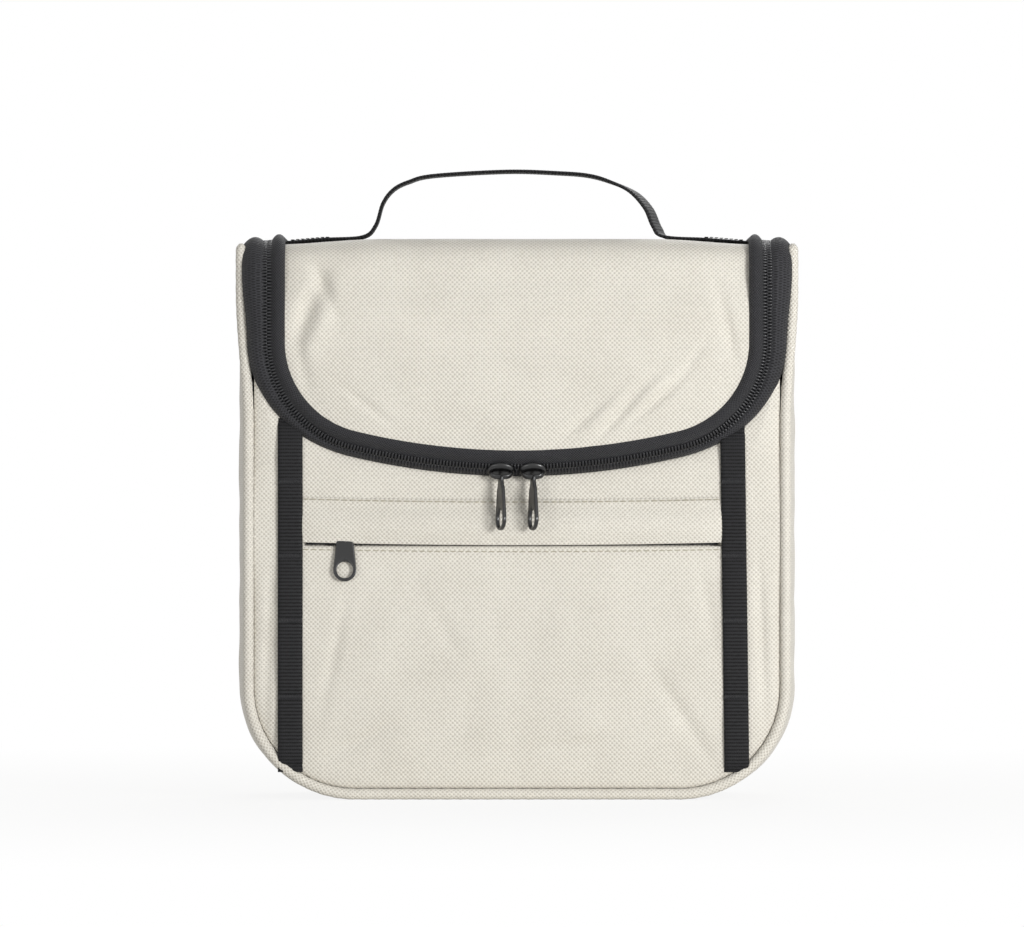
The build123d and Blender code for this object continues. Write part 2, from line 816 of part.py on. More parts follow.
# Stops at the two ends of the pocket's zip
stop_reach = pocket_stop_inset + pocket_stop_width / 2
with BuildPart() as pocket_zip_stops:
    with BuildSketch(facing(pocket_tape_y - tape / 2)):
        with Locations((zip_from_x + stop_reach, pocket_zip_z), (zip_to_x - stop_reach, pocket_zip_z)):
            Rectangle(pocket_stop_width, pocket_stop_height)
    extrude(amount=pocket_coil_height)
export(pocket_zip_stops, "pocket_zip_stops")

# Pocket slider, hidden under the flap, and its pull tab
pocket_plane = Plane(
    origin=(pocket_slider_x, pocket_tape_y, pocket_zip_z), x_dir=(1, 0, 0), z_dir=(0, -1, 0)
)
body, pocket_top_w = slider_body(
    pocket_plane,
    pocket_slider_length,
    pocket_slider_half,
    pocket_slider_plate,
    tape / 2 + 0.02 + pocket_coil_height,
    -1,
)
with BuildPart() as pocket_slider:
    add(body)
    with BuildSketch(pocket_plane.offset(pocket_top_w)):
        with GridLocations(2 * pocket_bridge_leg, 0, 2, 1):
            Rectangle(pocket_bridge_width, 1.4)
    extrude(amount=pocket_pull_gap)
    with BuildSketch(pocket_plane.offset(pocket_top_w + pocket_pull_gap)):
        RectangleRounded(2 * pocket_bridge_leg + pocket_bridge_width, 1.8, 0.5)
    extrude(amount=0.7)
export(pocket_slider, "pocket_slider")

lean = math.radians(pocket_pull_lean)
eye_place = pocket_plane.from_local_coords(Vector(0, 0, pocket_top_w + pocket_pull_gap / 2))
eye_y = eye_place.Y
pull_face = Vector(0, -math.cos(lean), math.sin(lean))
pull_plane = Plane(
    origin=(pocket_slider_x + pocket_bridge_leg, eye_y, pocket_zip_z), x_dir=(1, 0, 0), z_dir=pull_face
)
ring_y = -(pocket_pull_length - pull_ring / 2)
with BuildPart() as pocket_pull:
    with BuildSketch(pull_plane):
        Circle(2.1)
        with Locations((0, ring_y)):
            Circle(pull_ring / 2)
        with BuildLine():
            Polyline(
                (-2.0, -0.5),
                (-pull_neck / 2, -4.0),
                (-pull_neck / 2, ring_y + 3.2),
                (pull_neck / 2, ring_y + 3.2),
                (pull_neck / 2, -4.0),
                (2.0, -0.5),
                close=True,
            )
        make_face()
        Circle(1.25, mode=Mode.SUBTRACT)
        with Locations((0, ring_y)):
            Circle(pull_hole / 2, mode=Mode.SUBTRACT)
    extrude(amount=pocket_pull_thick / 2, both=True)
export(pocket_pull, "pocket_pull")
print("pocket pull eye", pocket_slider_x + pocket_bridge_leg, eye_y, pocket_zip_z, "handle pivot z", pivot_z)
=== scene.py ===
# %% [markdown]
# A padded wash bag with a U-shaped lid
# The bag is sewn from a sand coloured woven polyester over thin foam. A black coil zip runs round
# the lid, two webbing straps run down the front, and a webbing handle stands on top. The packed
# solids give the main places and sizes, and this file dresses them in cloth, thread and metal.
#
# Sizes here are in millimetres, as a sewing pattern's are, and become metres when a mesh is made.
# All sizes could be typed, but then the dressed bag would no longer follow the solids, so the main
# faces are read from the solids' boxes. Small sizes, such as a stitch's, stand where they are used.

import bpy
import numpy as np
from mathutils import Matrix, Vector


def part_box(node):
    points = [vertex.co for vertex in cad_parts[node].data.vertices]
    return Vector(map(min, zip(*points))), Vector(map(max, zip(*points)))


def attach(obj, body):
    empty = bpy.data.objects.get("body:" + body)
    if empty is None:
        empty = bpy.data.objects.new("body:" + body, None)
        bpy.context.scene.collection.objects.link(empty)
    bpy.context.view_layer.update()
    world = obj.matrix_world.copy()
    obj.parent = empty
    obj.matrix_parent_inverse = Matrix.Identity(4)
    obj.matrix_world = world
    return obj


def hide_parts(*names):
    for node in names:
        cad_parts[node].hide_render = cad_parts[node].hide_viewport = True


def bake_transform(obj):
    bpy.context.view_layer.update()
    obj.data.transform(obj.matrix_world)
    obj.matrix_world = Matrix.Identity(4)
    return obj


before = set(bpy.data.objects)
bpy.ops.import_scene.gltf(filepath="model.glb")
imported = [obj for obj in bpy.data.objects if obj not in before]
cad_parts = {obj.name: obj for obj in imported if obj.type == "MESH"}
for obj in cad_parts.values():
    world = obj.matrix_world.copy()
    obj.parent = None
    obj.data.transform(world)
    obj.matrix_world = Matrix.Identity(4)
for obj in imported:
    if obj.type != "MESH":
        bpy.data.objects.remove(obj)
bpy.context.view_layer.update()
mm = 0.001


def corner(node, which, axis):
    """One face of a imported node's box, in millimetres: which is 0 for its low side, 1 for its high side."""
    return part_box(node)[which][axis] / mm


lid_front = corner("lid_panel", 0, 1)
lid_top = corner("lid_panel", 1, 2)
lid_rear = corner("lid_panel", 1, 1)
lid_half = corner("lid_panel", 1, 0)
lid_low = corner("lid_panel", 0, 2)
front_y = corner("pocket_panel", 0, 1)
inside_front = corner("front_lining", 1, 1)
inside_back = corner("back_lining", 0, 1)
back_y = corner("back_panel", 1, 1)
bag_half = corner("side_gusset", 1, 0)
gusset_top = corner("side_gusset", 1, 2)
panel_half = corner("back_panel", 1, 0)
panel_low = corner("back_panel", 0, 2)
print("lid front", lid_front, "lid top", lid_top, "front", front_y, "back", back_y, "half", bag_half)

# %% [markdown]
# The zip's line
# Everything on the front is laid out from the line of the zip: one long shallow arc under the lid,
# a tight arc at each corner, straight sides, a bend over the top edge and a straight run to the
# rear. It could be drawn as a curve object, and tape and teeth bent along it by modifiers. Here it
# is a function of the length along it instead, because tape, teeth, thread and sliders all need
# the same place, direction and tilt at exact lengths, and each half of the zip has its own side.

# %% Radii of the zip's line and the lengths at which it changes
# From the lid's edge to the middle of the chain
seam = 6.4
zip_half = lid_half + seam
zip_low = lid_low - seam
low_radius = 282.0
corner_radius = 44.0
bend_radius = 14.0
corner_x = zip_half - corner_radius
arc_z = zip_low + low_radius
corner_z = arc_z - np.sqrt((low_radius - corner_radius) ** 2 - corner_x**2)
low_turn = np.arcsin(corner_x / (low_radius - corner_radius))
bend_y = lid_front + bend_radius
bend_z = lid_top - bend_radius
run_low = low_radius * low_turn
run_corner = run_low + corner_radius * (np.pi / 2 - low_turn)
run_side = run_corner + bend_z - corner_z
run_bend = run_side + bend_radius * np.pi / 2
run_rear = run_bend + corner("main_zip_tape_body", 1, 1) - bend_y
print("length of the zip", round(2 * run_rear, 1), "mm")


# %% Place, direction and tilt along the zip
# Tilt of the tape in degrees: steep along the bottom, where the front wall passes under the lid,
# and nearly flat at the sides and on top
low_tilt = 40
side_tilt_change = 29
top_tilt_change = 6


def ease(value, low, high):
    """Smooth step from 0 at low to 1 at high: three times the square less twice the cube."""
    t = np.clip((value - low) / (high - low), 0, 1)
    return t * t * (3 - 2 * t)


def zip_line(length):
    """Place, outward direction, surface normal and tape tilt at signed lengths from the bottom's middle.

    Under run_low the place is on the low arc, then on the corner arc, the straight side, the bend
    (a quarter circle about the X axis) and the top. Negative lengths mirror X.
    """
    s = np.abs(length)
    sign = np.where(length < 0, -1.0, 1.0)
    turn = np.where(s < run_low, s / low_radius, low_turn + (s - run_low) / corner_radius)
    turn = np.minimum(turn, np.pi / 2)
    radius = np.where(s < run_low, low_radius, corner_radius)
    centre_x = np.where(s < run_low, 0.0, corner_x)
    centre_z = np.where(s < run_low, arc_z, corner_z)
    x = centre_x + radius * np.sin(turn)
    z = centre_z - radius * np.cos(turn) + np.clip(s - run_corner, 0, run_side - run_corner)
    phi = np.clip((s - run_side) / bend_radius, 0, np.pi / 2)
    y = np.full_like(s, lid_front) + bend_radius * (1 - np.cos(phi)) + np.clip(s - run_bend, 0, None)
    z = z + bend_radius * np.sin(phi)
    place = np.stack([sign * x, y, z], -1)
    outward = np.stack([sign * np.sin(turn), 0 * s, -np.cos(turn)], -1)
    normal = np.stack([0 * s, -np.cos(phi), np.sin(phi)], -1)
    side_share = ease(turn, low_turn, np.pi / 2)
    top_share = ease(phi, 0, np.pi / 2)
    tilt = np.radians(low_tilt - side_tilt_change * side_share - top_tilt_change * top_share)
    return place, outward, normal, tilt


def chain_depth_at(tilt):
    """Depth of the chain's middle behind the lid's face: 1.4 mm, and 4.8 mm times the sine of the tilt."""
    return 1.4 + 4.8 * np.sin(tilt)


# %% Distance from the zip's line
def mouth_distance(x, z, grow):
    """Distance inside the zip's line grown by grow: the least of the low arc and the sides, or the corner."""
    ax = np.abs(x)
    low = low_radius + grow - np.hypot(ax, z - arc_z)
    side = zip_half + grow - ax
    round_corner = corner_radius + grow - np.hypot(ax - corner_x, z - corner_z)
    along = np.arctan2(ax - corner_x, corner_z - z)
    in_corner = (along > low_turn) & (along < np.pi / 2)
    return np.where(in_corner, round_corner, np.minimum(low, side))


def mouth_edge(x, grow):
    """Height of the zip's line, grown by grow, above each x: the low arc, then the corner arc."""
    ax = np.abs(x)
    low = arc_z - np.sqrt((low_radius + grow) ** 2 - ax**2)
    reach = np.clip((corner_radius + grow) ** 2 - (ax - corner_x) ** 2, 0, None)
    corner_starts = corner_x + (corner_radius + grow) * np.sin(low_turn)
    return np.where(ax < corner_starts, low, corner_z - np.sqrt(reach))


print("the zip's line crosses the middle at", round(float(mouth_edge(0.0, 0.0)), 1), "mm")

# %% [markdown]
# From arrays to a mesh
# Every piece below is a grid of points and the four-sided faces between them. A mesh could be
# built face by face or with Blender's own tools, but an array holds all the points at once, so one
# formula shapes the whole piece. Each piece also gets a UV map that holds the cloth's own lengths
# in millimetres, so that the weave keeps its real size on every side.

# %% A closed piece from points and faces
def outward_faces(points, faces):
    """Faces, turned round if the closed form's signed volume, a sum of triple products, is below 0."""
    corners = points[faces]
    volume = 0
    for b, c in ((1, 2), (2, 3)):
        volume += np.einsum("ij,ij->", corners[:, 0], np.cross(corners[:, b], corners[:, c]))
    return faces[:, ::-1] if volume < 0 else faces


def make_piece(name, points, faces, uv, slots=None):
    """Closed mesh from points in millimetres, quads, and the cloth's own lengths in millimetres per point."""
    points = points.reshape(-1, 3)
    faces = outward_faces(points, faces)
    mesh = bpy.data.meshes.new(name)
    mesh.from_pydata((points * mm).tolist(), [], faces.tolist())
    layer = mesh.uv_layers.new(name="cloth")
    loops = np.empty(len(mesh.loops), np.int32)
    mesh.loops.foreach_get("vertex_index", loops)
    layer.data.foreach_set("uv", uv.reshape(-1, 2)[loops].astype(np.float32).ravel())
    mesh.polygons.foreach_set("use_smooth", np.full(len(mesh.polygons), True))
    if slots is not None:
        mesh.polygons.foreach_set("material_index", slots.astype(np.int32))
    mesh.update()
    piece = bpy.data.objects.new(name, mesh)
    bpy.context.scene.collection.objects.link(piece)
    return piece


def grid_quads(rows, columns, start=0, wrap=False):
    """Quads between neighbours in a grid numbered row by row; wrap joins its first and last column."""
    index = np.arange(rows * columns).reshape(rows, columns) + start
    if wrap:
        index = np.concatenate([index, index[:, :1]], 1)
    return np.stack([index[:-1, :-1], index[1:, :-1], index[1:, 1:], index[:-1, 1:]], -1).reshape(-1, 4)


print("a grid of 3 by 4 points has", len(grid_quads(3, 4)), "quads")

# %% [markdown]
# A padded wall
# The bag's walls are cloth outside, lining inside and foam between. A flat panel with a Solidify
# modifier would give the thickness, but the lining would repeat every crease of the cloth. Here
# the outer cloth and the lining are two grids with their own shapes, joined round the rim.

# %% A pad from two grids
# Direction names that the pieces share
to_right = (1.0, 0, 0)
to_front = (0, -1.0, 0)
to_top = (0, 0, 1.0)


def make_pad(name, outer, inner, uv):
    """Closed pad: outer grid, inner grid facing the other way, and a strip round the rim.

    The inner face takes the second material slot, the lining.
    """
    rows, columns = outer.shape[:2]
    count = rows * columns
    index = np.arange(count).reshape(rows, columns)
    rim = np.concatenate([index[0, :-1], index[:-1, -1], index[-1, :0:-1], index[:0:-1, 0]])
    after = np.roll(rim, -1)
    front = grid_quads(rows, columns)
    back = grid_quads(rows, columns, count)[:, ::-1]
    strip = np.stack([rim, after, after + count, rim + count], -1)
    slots = np.concatenate([np.zeros(len(front)), np.ones(len(back)), np.zeros(len(strip))])
    points = np.concatenate([outer.reshape(-1, 3), inner.reshape(-1, 3)])
    both = np.concatenate([uv.reshape(-1, 2), uv.reshape(-1, 2)])
    return make_piece(name, points, np.concatenate([front, back, strip]), both, slots)


print("directions: right", to_right, "front", to_front, "top", to_top)

# %% [markdown]
# Tape, piping and webbing
# These are long strips with nearly the same section all the way. A curve object with a bevel would
# draw them, but its section can't swell, sink or ripple as sewn tape does. So a profile is carried
# along a path, and the profile may be different at every station.

# %% A profile carried along a path
def carry(name, place, side_a, side_b, a, b):
    """Closed profile carried along a path: place + a * side_a + b * side_b at every station.

    A side is one direction for the whole path, or one for each station. The profile has an even number
    of points, and each end is closed by quads between opposite points.
    """
    stations, count = len(place), np.shape(a)[-1]
    side_a = np.broadcast_to(side_a, place.shape)
    side_b = np.broadcast_to(side_b, place.shape)
    a = np.broadcast_to(a, (stations, count))
    b = np.broadcast_to(b, (stations, count))
    points = place[:, None] + a[..., None] * side_a[:, None] + b[..., None] * side_b[:, None]
    run = np.r_[0, np.cumsum(np.linalg.norm(np.diff(place, axis=0), axis=1))]
    middle = stations // 2
    across = np.r_[0, np.cumsum(np.hypot(np.diff(a[middle]), np.diff(b[middle])))]
    uv = np.stack(np.broadcast_arrays(across[None], run[:, None]), -1)
    i = np.arange(count // 2 - 1)
    cap = np.stack([i, i + 1, count - 2 - i, count - 1 - i], -1)
    last = cap[:, ::-1] + (stations - 1) * count
    return make_piece(name, points, np.concatenate([grid_quads(stations, count, 0, True), cap, last]), uv)


print("a profile of 8 points at 3 stations has", len(grid_quads(3, 8, 0, True)) + 6, "faces with its ends")

# %% [markdown]
# Stitches and teeth
# Stitches, bar tacks and the coil's teeth are hundreds of small rods. An Array modifier or
# instances would place copies, but along a bent zip each rod has its own direction. One rod's
# points are worked out for all places at once, with few faces, because each is seen very small.

# %% Many small rods in one piece
rod_sides = 6
rod_rings = 5


def repeat_bead(name, centre, along, across, upward, half_length, radius, height):
    """Many small rounded rods: at each centre a six-sided rod along one direction, thinner at both ends."""
    step = np.array([-1, -0.82, 0, 0.82, 1.0])
    swell = np.array([0.3, 0.85, 1, 0.85, 0.3])
    turn = np.arange(rod_sides) * np.pi / 3
    u = np.repeat(step, rod_sides) * half_length
    v = (swell[:, None] * np.cos(turn)).ravel() * radius
    w = (swell[:, None] * np.sin(turn)).ravel() * height
    along, across, upward = (np.broadcast_to(side, centre.shape) for side in (along, across, upward))
    points = (
        centre[:, None]
        + u[:, None] * along[:, None]
        + v[:, None] * across[:, None]
        + w[:, None] * upward[:, None]
    )
    cap = np.array([[0, 1, 4, 5], [1, 2, 3, 4]])
    far_cap = cap[:, ::-1] + (rod_rings - 1) * rod_sides
    one = np.concatenate([grid_quads(rod_rings, rod_sides, 0, True), cap, far_cap])
    faces = (one[None] + (np.arange(len(centre)) * rod_rings * rod_sides)[:, None, None]).reshape(-1, 4)
    uv = np.stack([np.tile(u, len(centre)), np.tile(v, len(centre))], -1)
    return make_piece(name, points, faces, uv)


print("points in one rod", rod_rings * rod_sides)

# %% [markdown]
# Finishing a piece
# A finished piece has its finish in a slot, moves with its body and hides the imported solids that it
# stands for. These calls could follow every piece, but one function keeps their order the same.


def finish_piece(piece, body, material, nodes=(), lining=None):
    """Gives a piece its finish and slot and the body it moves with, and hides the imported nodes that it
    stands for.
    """
    piece.data.materials.append(material)
    if lining is not None:
        piece.data.materials.append(lining)
    if body is not None:
        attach(piece, body)
    if nodes:
        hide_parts(*nodes)
    print(piece.name, len(piece.data.polygons), "faces")
    return piece


# %% [markdown]
# Creases and slow folds
# Cloth over foam is never flat: it dents beside its seams and creases where the bag was folded.
# Cloth simulation is the usual way to get this, and sculpting is another. Here the relief is a sum
# of hills and waves in a formula, because each crease can then be put where the photograph shows
# it, and the result is the same on every run. A simulated cloth would fold more freely.

# %% Hills, creases and waves
def bump_at(x, z, at_x, at_z, wide, tall, turn=0.0):
    """Rounded hill of height 1 at a point: a bell curve, stretched and turned by an angle in degrees."""
    a = np.radians(turn)
    u = (x - at_x) * np.cos(a) + (z - at_z) * np.sin(a)
    v = -(x - at_x) * np.sin(a) + (z - at_z) * np.cos(a)
    return np.exp(-((u / wide) ** 2) - (v / tall) ** 2)


def crease_sum(x, z, creases):
    """Sum of rounded hills, each given as its height, x, z, both widths and its turn in degrees."""
    total = 0
    for crease_height, *place in creases:
        total = total + crease_height * bump_at(x, z, *place)
    return total


def slow_folds(x, z, start):
    """Gentle unevenness of sewn cloth over foam: four sine waves in different directions, added up."""
    total = 0
    for size, turn, length in ((0.13, 20, 38.0), (0.1, 75, 27.0), (0.08, 130, 46.0), (0.05, 100, 17.0)):
        a = np.radians(turn + start * 31)
        total = total + size * np.sin((x * np.cos(a) + z * np.sin(a)) * 2 * np.pi / length + start)
    return total


print("a hill is", round(float(bump_at(5.0, 0.0, 0, 0, 5.0, 5.0)), 2), "high at one width from its middle")

# %% [markdown]
# Colour and shader nodes
# Colours are picked as hex codes, as they look on a screen, but a shader works with linear light,
# so one function turns the one into the other. Nodes could be placed by hand in the shader editor;
# a small function that adds a node with its settings and links keeps each material readable.

# %% Colour and node helpers
def srgb(code, alpha=1.0):
    """Linear colour from a hex sRGB code: each channel to the power the sRGB curve gives."""
    channels = np.array([int(code[i : i + 2], 16) / 255 for i in (1, 3, 5)])
    linear = np.where(channels <= 0.04045, channels / 12.92, ((channels + 0.055) / 1.055) ** 2.4)
    return (*linear.tolist(), alpha)


def node(tree, kind, settings=None, **links):
    """Adds a node, sets its properties and inputs, and links the inputs that are given as sockets."""
    made = tree.nodes.new(kind)
    for key, value in (settings or {}).items():
        setattr(made, key, value)
    for key, value in links.items():
        numbered = key[0] == "i" and key[1:].isdigit()
        socket = made.inputs[int(key[1:])] if numbered else made.inputs[key.replace("_", " ")]
        if isinstance(value, bpy.types.NodeSocket):
            tree.links.new(value, socket)
        else:
            socket.default_value = value
    return made


def wave(tree, coordinate, pitch):
    """Sine of the place along a coordinate, once round in each pitch."""
    times = {"operation": "MULTIPLY"}
    turns = node(tree, "ShaderNodeMath", times, i0=coordinate, i1=float(2 * np.pi / pitch))
    return node(tree, "ShaderNodeMath", {"operation": "SINE"}, i0=turns.outputs[0]).outputs[0]


def new_material(name):
    """Material with an empty Principled shader; returns the material, its tree and the shader."""
    material = bpy.data.materials.new(name)
    material.use_nodes = True
    tree = material.node_tree
    return material, tree, tree.nodes["Principled BSDF"]


print("a mid grey of #808080 is", round(srgb("#808080")[0], 3), "in linear light")

# %% [markdown]
# Woven cloth
# Shell, lining, zip tape and webbing are all woven polyester: threads cross over and under each
# other, so shaded hollows lie in staggered rows between them, and their shade is painted into the
# colour here. An image of cloth could be tiled over the bag, but it would repeat and would need a
# file. Two sine waves on the cloth's own lengths, multiplied, give the same crossings at any size,
# and one of them faded out gives webbing's ribs.

# %% A woven material
# Faded and pressed patches are about this wide, in millimetres
patch_size = 20.0
# Thick places in the yarn, in each millimetre
slubs_per_mm = 0.7
# How far the threads wander to the side, in millimetres
thread_wander = 0.35
# Depth of a hollow between threads, in metres
weave_depth = 0.15 * mm


def woven_cloth(
    name, hollow_shade, thread, pitch_across, pitch_along, bump, roughness, sheen, gloss, ribbed=0.0
):
    """Plain weave on the piece's own lengths: threads cross over and under, with hollows in staggered rows.

    The height is the product of a sine across the cloth and one along it, each one pitch long. ribbed, from
    0 to 1, fades the sine across to a constant, which leaves ribs. Low places take the first colour, a
    painted shade for the hollows between threads, and a slow and a fine noise tint the cloth where it was
    pressed and where its yarn is thick.
    """
    flat = {"noise_dimensions": "2D"}
    add = {"operation": "MULTIPLY_ADD"}
    times = {"operation": "MULTIPLY"}
    material, tree, shader = new_material(name)
    uv = node(tree, "ShaderNodeUVMap", {"uv_map": "cloth"}).outputs[0]
    slow = node(tree, "ShaderNodeTexNoise", flat, Vector=uv, Scale=1 / patch_size, Detail=3.0)
    fine = node(tree, "ShaderNodeTexNoise", flat, Vector=uv, Scale=slubs_per_mm, Detail=3.0)
    wander = (thread_wander, thread_wander, 0)
    shift = node(tree, "ShaderNodeVectorMath", add, i0=fine.outputs[1], i1=wander, i2=uv)
    split = node(tree, "ShaderNodeSeparateXYZ", {}, Vector=shift.outputs[0])
    across = wave(tree, split.outputs[0], pitch_across)
    along = wave(tree, split.outputs[1], pitch_along)
    crossing = node(tree, "ShaderNodeMath", add, i0=across, i1=1.0 - ribbed, i2=ribbed)
    weave = node(tree, "ShaderNodeMath", times, i0=crossing.outputs[0], i1=along)
    patchy = node(tree, "ShaderNodeMath", add, i0=fine.outputs[0], i1=0.5, i2=weave.outputs[0])
    tone = node(tree, "ShaderNodeMath", add, i0=slow.outputs[0], i1=0.6, i2=patchy.outputs[0])
    # Painted shade: the darker first colour falls on the low places of the weave, where the hollows between
    # threads are shaded
    ramp = node(tree, "ShaderNodeValToRGB", {}, Fac=tone.outputs[0])
    ramp.color_ramp.elements[0].position = 0.0
    ramp.color_ramp.elements[0].color = srgb(hollow_shade)
    ramp.color_ramp.elements[1].position = 0.62
    ramp.color_ramp.elements[1].color = srgb(thread)
    tree.links.new(ramp.outputs[0], shader.inputs["Base Color"])
    relief = node(tree, "ShaderNodeBump", {}, Height=weave.outputs[0], Strength=bump, Distance=weave_depth)
    tree.links.new(relief.outputs[0], shader.inputs["Normal"])
    shader.inputs["Roughness"].default_value = roughness
    shader.inputs["Specular IOR Level"].default_value = gloss
    shader.inputs["Sheen Weight"].default_value = sheen
    shader.inputs["Sheen Roughness"].default_value = 0.5
    return material


# %% The bag's cloths
# The first colour of each cloth is painted shade for the hollows between its threads, and the second is its
# thread's own colour
# Woven polyester, matt with a faint silkiness. Such cloth usually has about 20 threads to the
# centimetre, too fine to show at this size, so its crossings are drawn 0.9 mm apart.
sand_polyester = woven_cloth("woven_polyester_shell", "#BFB9AE", "#DEDAD0", 1.8, 1.8, 0.7, 0.6, 0.15, 0.35)
# Thin woven lining, dyed grey, drawn coarser than its thread for the same reason
grey_lining = woven_cloth("woven_polyester_lining", "#75736D", "#96948D", 1.3, 1.3, 0.3, 0.7, 0.1, 0.3)
# Zip tape: black polyester, woven so tightly that it looks dull and even
black_tape = woven_cloth("zip_tape_twill", "#121214", "#343437", 1.1, 1.1, 0.9, 0.7, 0.08, 0.25)
# Heavy webbing: coarse ribs across the strap, 1.4 mm apart, with painted shade in the gaps between them
black_webbing = woven_cloth("polyester_webbing", "#010101", "#232325", 0.9, 1.4, 1.0, 0.6, 0.02, 0.2, 0.7)
for cloth in (sand_polyester, grey_lining, black_tape, black_webbing):
    print("woven finish", cloth.name)

# %% [markdown]
# Lacquer, nylon and thread
# Sliders, stops and pulls are die-cast zinc under gloss lacquer, the coil is moulded nylon, and
# thread is spun polyester. The metal never shows, so a metallic shader would be wrong: what the eye
# sees is black paint with a clear coat. All of these bend light by about 1.5, the shader's own
# value. Each finish gets a fine grain in its roughness and relief, because nothing moulded or
# sprayed is perfectly smooth.

# %% Finishes without a weave
# Depth of the grain, in metres
grain_depth = 0.05 * mm


def plain_finish(name, colour, roughness, coat, grain, grains_per_mm):
    """Moulded, lacquered or spun surface: the roughness and a slight relief follow one fine noise."""
    material, tree, shader = new_material(name)
    place = node(tree, "ShaderNodeTexCoord").outputs["Object"]
    noise = node(tree, "ShaderNodeTexNoise", {}, Vector=place, Scale=grains_per_mm / mm, Detail=2.0)
    spread = node(tree, "ShaderNodeMapRange", {}, Value=noise.outputs[0])
    spread.inputs["To Min"].default_value = roughness * 0.8
    spread.inputs["To Max"].default_value = roughness * 1.25
    tree.links.new(spread.outputs[0], shader.inputs["Roughness"])
    shader.inputs["Base Color"].default_value = srgb(colour)
    shader.inputs["Coat Weight"].default_value = coat
    shader.inputs["Coat Roughness"].default_value = 0.08
    relief = node(tree, "ShaderNodeBump", {}, Height=noise.outputs[0], Strength=grain, Distance=grain_depth)
    tree.links.new(relief.outputs[0], shader.inputs["Normal"])
    return material


# Gloss lacquer on zinc: nearly black, with clear highlights along the rounded edges
black_lacquer = plain_finish("lacquered_zinc", "#050506", 0.3, 0.35, 0.05, 0.9)
# Moulded nylon: dark, with a soft sheen on each tooth
black_nylon = plain_finish("moulded_nylon_coil", "#1E1E21", 0.38, 0.1, 0.2, 1.5)
# Spun thread: matt, with a twist too fine to see
sand_thread = plain_finish("shell_sewing_thread", "#A9A391", 0.6, 0.0, 0.5, 3.0)
black_thread = plain_finish("webbing_sewing_thread", "#17171A", 0.55, 0.0, 0.5, 3.0)
for finish in (black_lacquer, black_nylon, sand_thread, black_thread):
    print("plain finish", finish.name)

# %% [markdown]
# The lid
# The lid is one cloth that hangs down the front, bends over the top edge and ends in the seam at
# the back. It is stuffed with thin foam, so it crowns a few millimetres between its seams and is
# tucked in all round, with shallow creases where it has been folded. It could be a plane that is
# bent and inflated. One grid from the low edge to the rear seam keeps the weave running straight
# over the bend, as it does in one cloth.

# %% The lid's relief
# Height, x, z, both widths and turn of each crease; a negative height is the ridge beside a crease
lid_creases = (
    (2.4, -84, 196, 4, 15, -24),
    (1.6, -77, 205, 3, 12, 22),
    (-1.2, -79, 190, 4, 14, -24),
    (1.2, -86, 172, 3, 12, 10),
    (1.7, 40, 153, 15, 1.9, 48),
    (-0.9, 36, 156, 15, 2.4, 48),
    (1.5, 56, 160, 13, 1.8, 40),
    (-0.8, 52, 163, 13, 2.2, 40),
    (1.1, 24, 150, 11, 1.8, 40),
    (1.2, 84, 190, 2.6, 18, 14),
    (0.8, -60, 158, 13, 2.0, -38),
    (0.7, 70, 176, 9, 2.0, 52),
)
lid_crown = 2.8
lid_crown_reach = 13
# How deep the lining lies behind the cloth of the lid and of the gusset
wall_depth = 3.4


def lid_relief(x, z, from_edge, over_top):
    """Height of the lid's cloth: a crown that rises with the distance from the seam, less the creases."""
    crown = lid_crown * (1 - np.exp(-np.clip(from_edge, 0, None) / lid_crown_reach))
    creases = crease_sum(x, z, lid_creases)
    held = np.clip(from_edge / 8, 0, 1)
    crown = crown - 2.6 * ease(z, 194, 214) * (1 - over_top)
    return (crown + slow_folds(x, z, 1.0) * held - creases * held) * (1 - 0.9 * over_top) - 0.3


print("creases in the lid", len(lid_creases))

# %% The lid's padded cloth
across = lid_half * np.sin(np.linspace(-np.pi / 2, np.pi / 2, 170))
low_edge = mouth_edge(across, -seam)
rise = np.linspace(0, 1, 110)[:, None]
phi = np.radians(np.linspace(0, 90, 15)[1:])[:, None]
back = np.linspace(0, 1, 46)[1:, None] ** 0.9
flat = np.ones_like(across)[None]
lid_x = np.broadcast_to(across, (len(rise) + len(phi) + len(back), len(across)))
lid_y = np.concatenate([
    lid_front * flat * np.ones_like(rise),
    (bend_y - bend_radius * np.cos(phi)) * flat,
    (bend_y + (lid_rear - bend_y) * back) * flat,
])
lid_z = np.concatenate([
    low_edge + (bend_z - low_edge) * rise,
    (bend_z + bend_radius * np.sin(phi)) * flat,
    lid_top * flat * np.ones_like(back),
])
tilt_back = np.concatenate([0 * rise, phi, np.pi / 2 * np.ones_like(back)])
lid_normal = np.stack(np.broadcast_arrays(0 * lid_x, -np.cos(tilt_back), np.sin(tilt_back)), -1)
from_sides = np.where(tilt_back > 0, lid_half - np.abs(lid_x), mouth_distance(lid_x, lid_z, -seam))
from_edge = np.minimum(from_sides, lid_rear - lid_y)
over_top = np.sin(tilt_back) ** 2
height = lid_relief(lid_x, lid_z, from_edge, over_top)
height = height - 1.9 * ease(np.abs(lid_x), 55, lid_half) * over_top
lid_base = np.stack([lid_x, lid_y, lid_z], -1)
lid_steps = np.linalg.norm(np.diff(lid_base, axis=0), axis=-1)
lid_run = np.cumsum(np.r_[np.zeros((1, len(across))), lid_steps], 0)
lid_outer = lid_base + lid_normal * height[..., None]
lid_inner = lid_base - lid_normal * wall_depth
lid_pad = make_pad("lid_pad", lid_outer, lid_inner, np.stack([lid_x, lid_run + low_edge], -1))
finish_piece(lid_pad, "lid", sand_polyester, ("lid_panel", "lid_foam", "lid_lining"), grey_lining)

# %% [markdown]
# The front
# The front is one padded wall below the zip, with a long window across it for the pocket's zip. The
# window could be cut out by a modifier, but that leaves long thin faces that shade badly on curved
# cloth. Instead the rows of the grid come close together at its two edges and step back there.

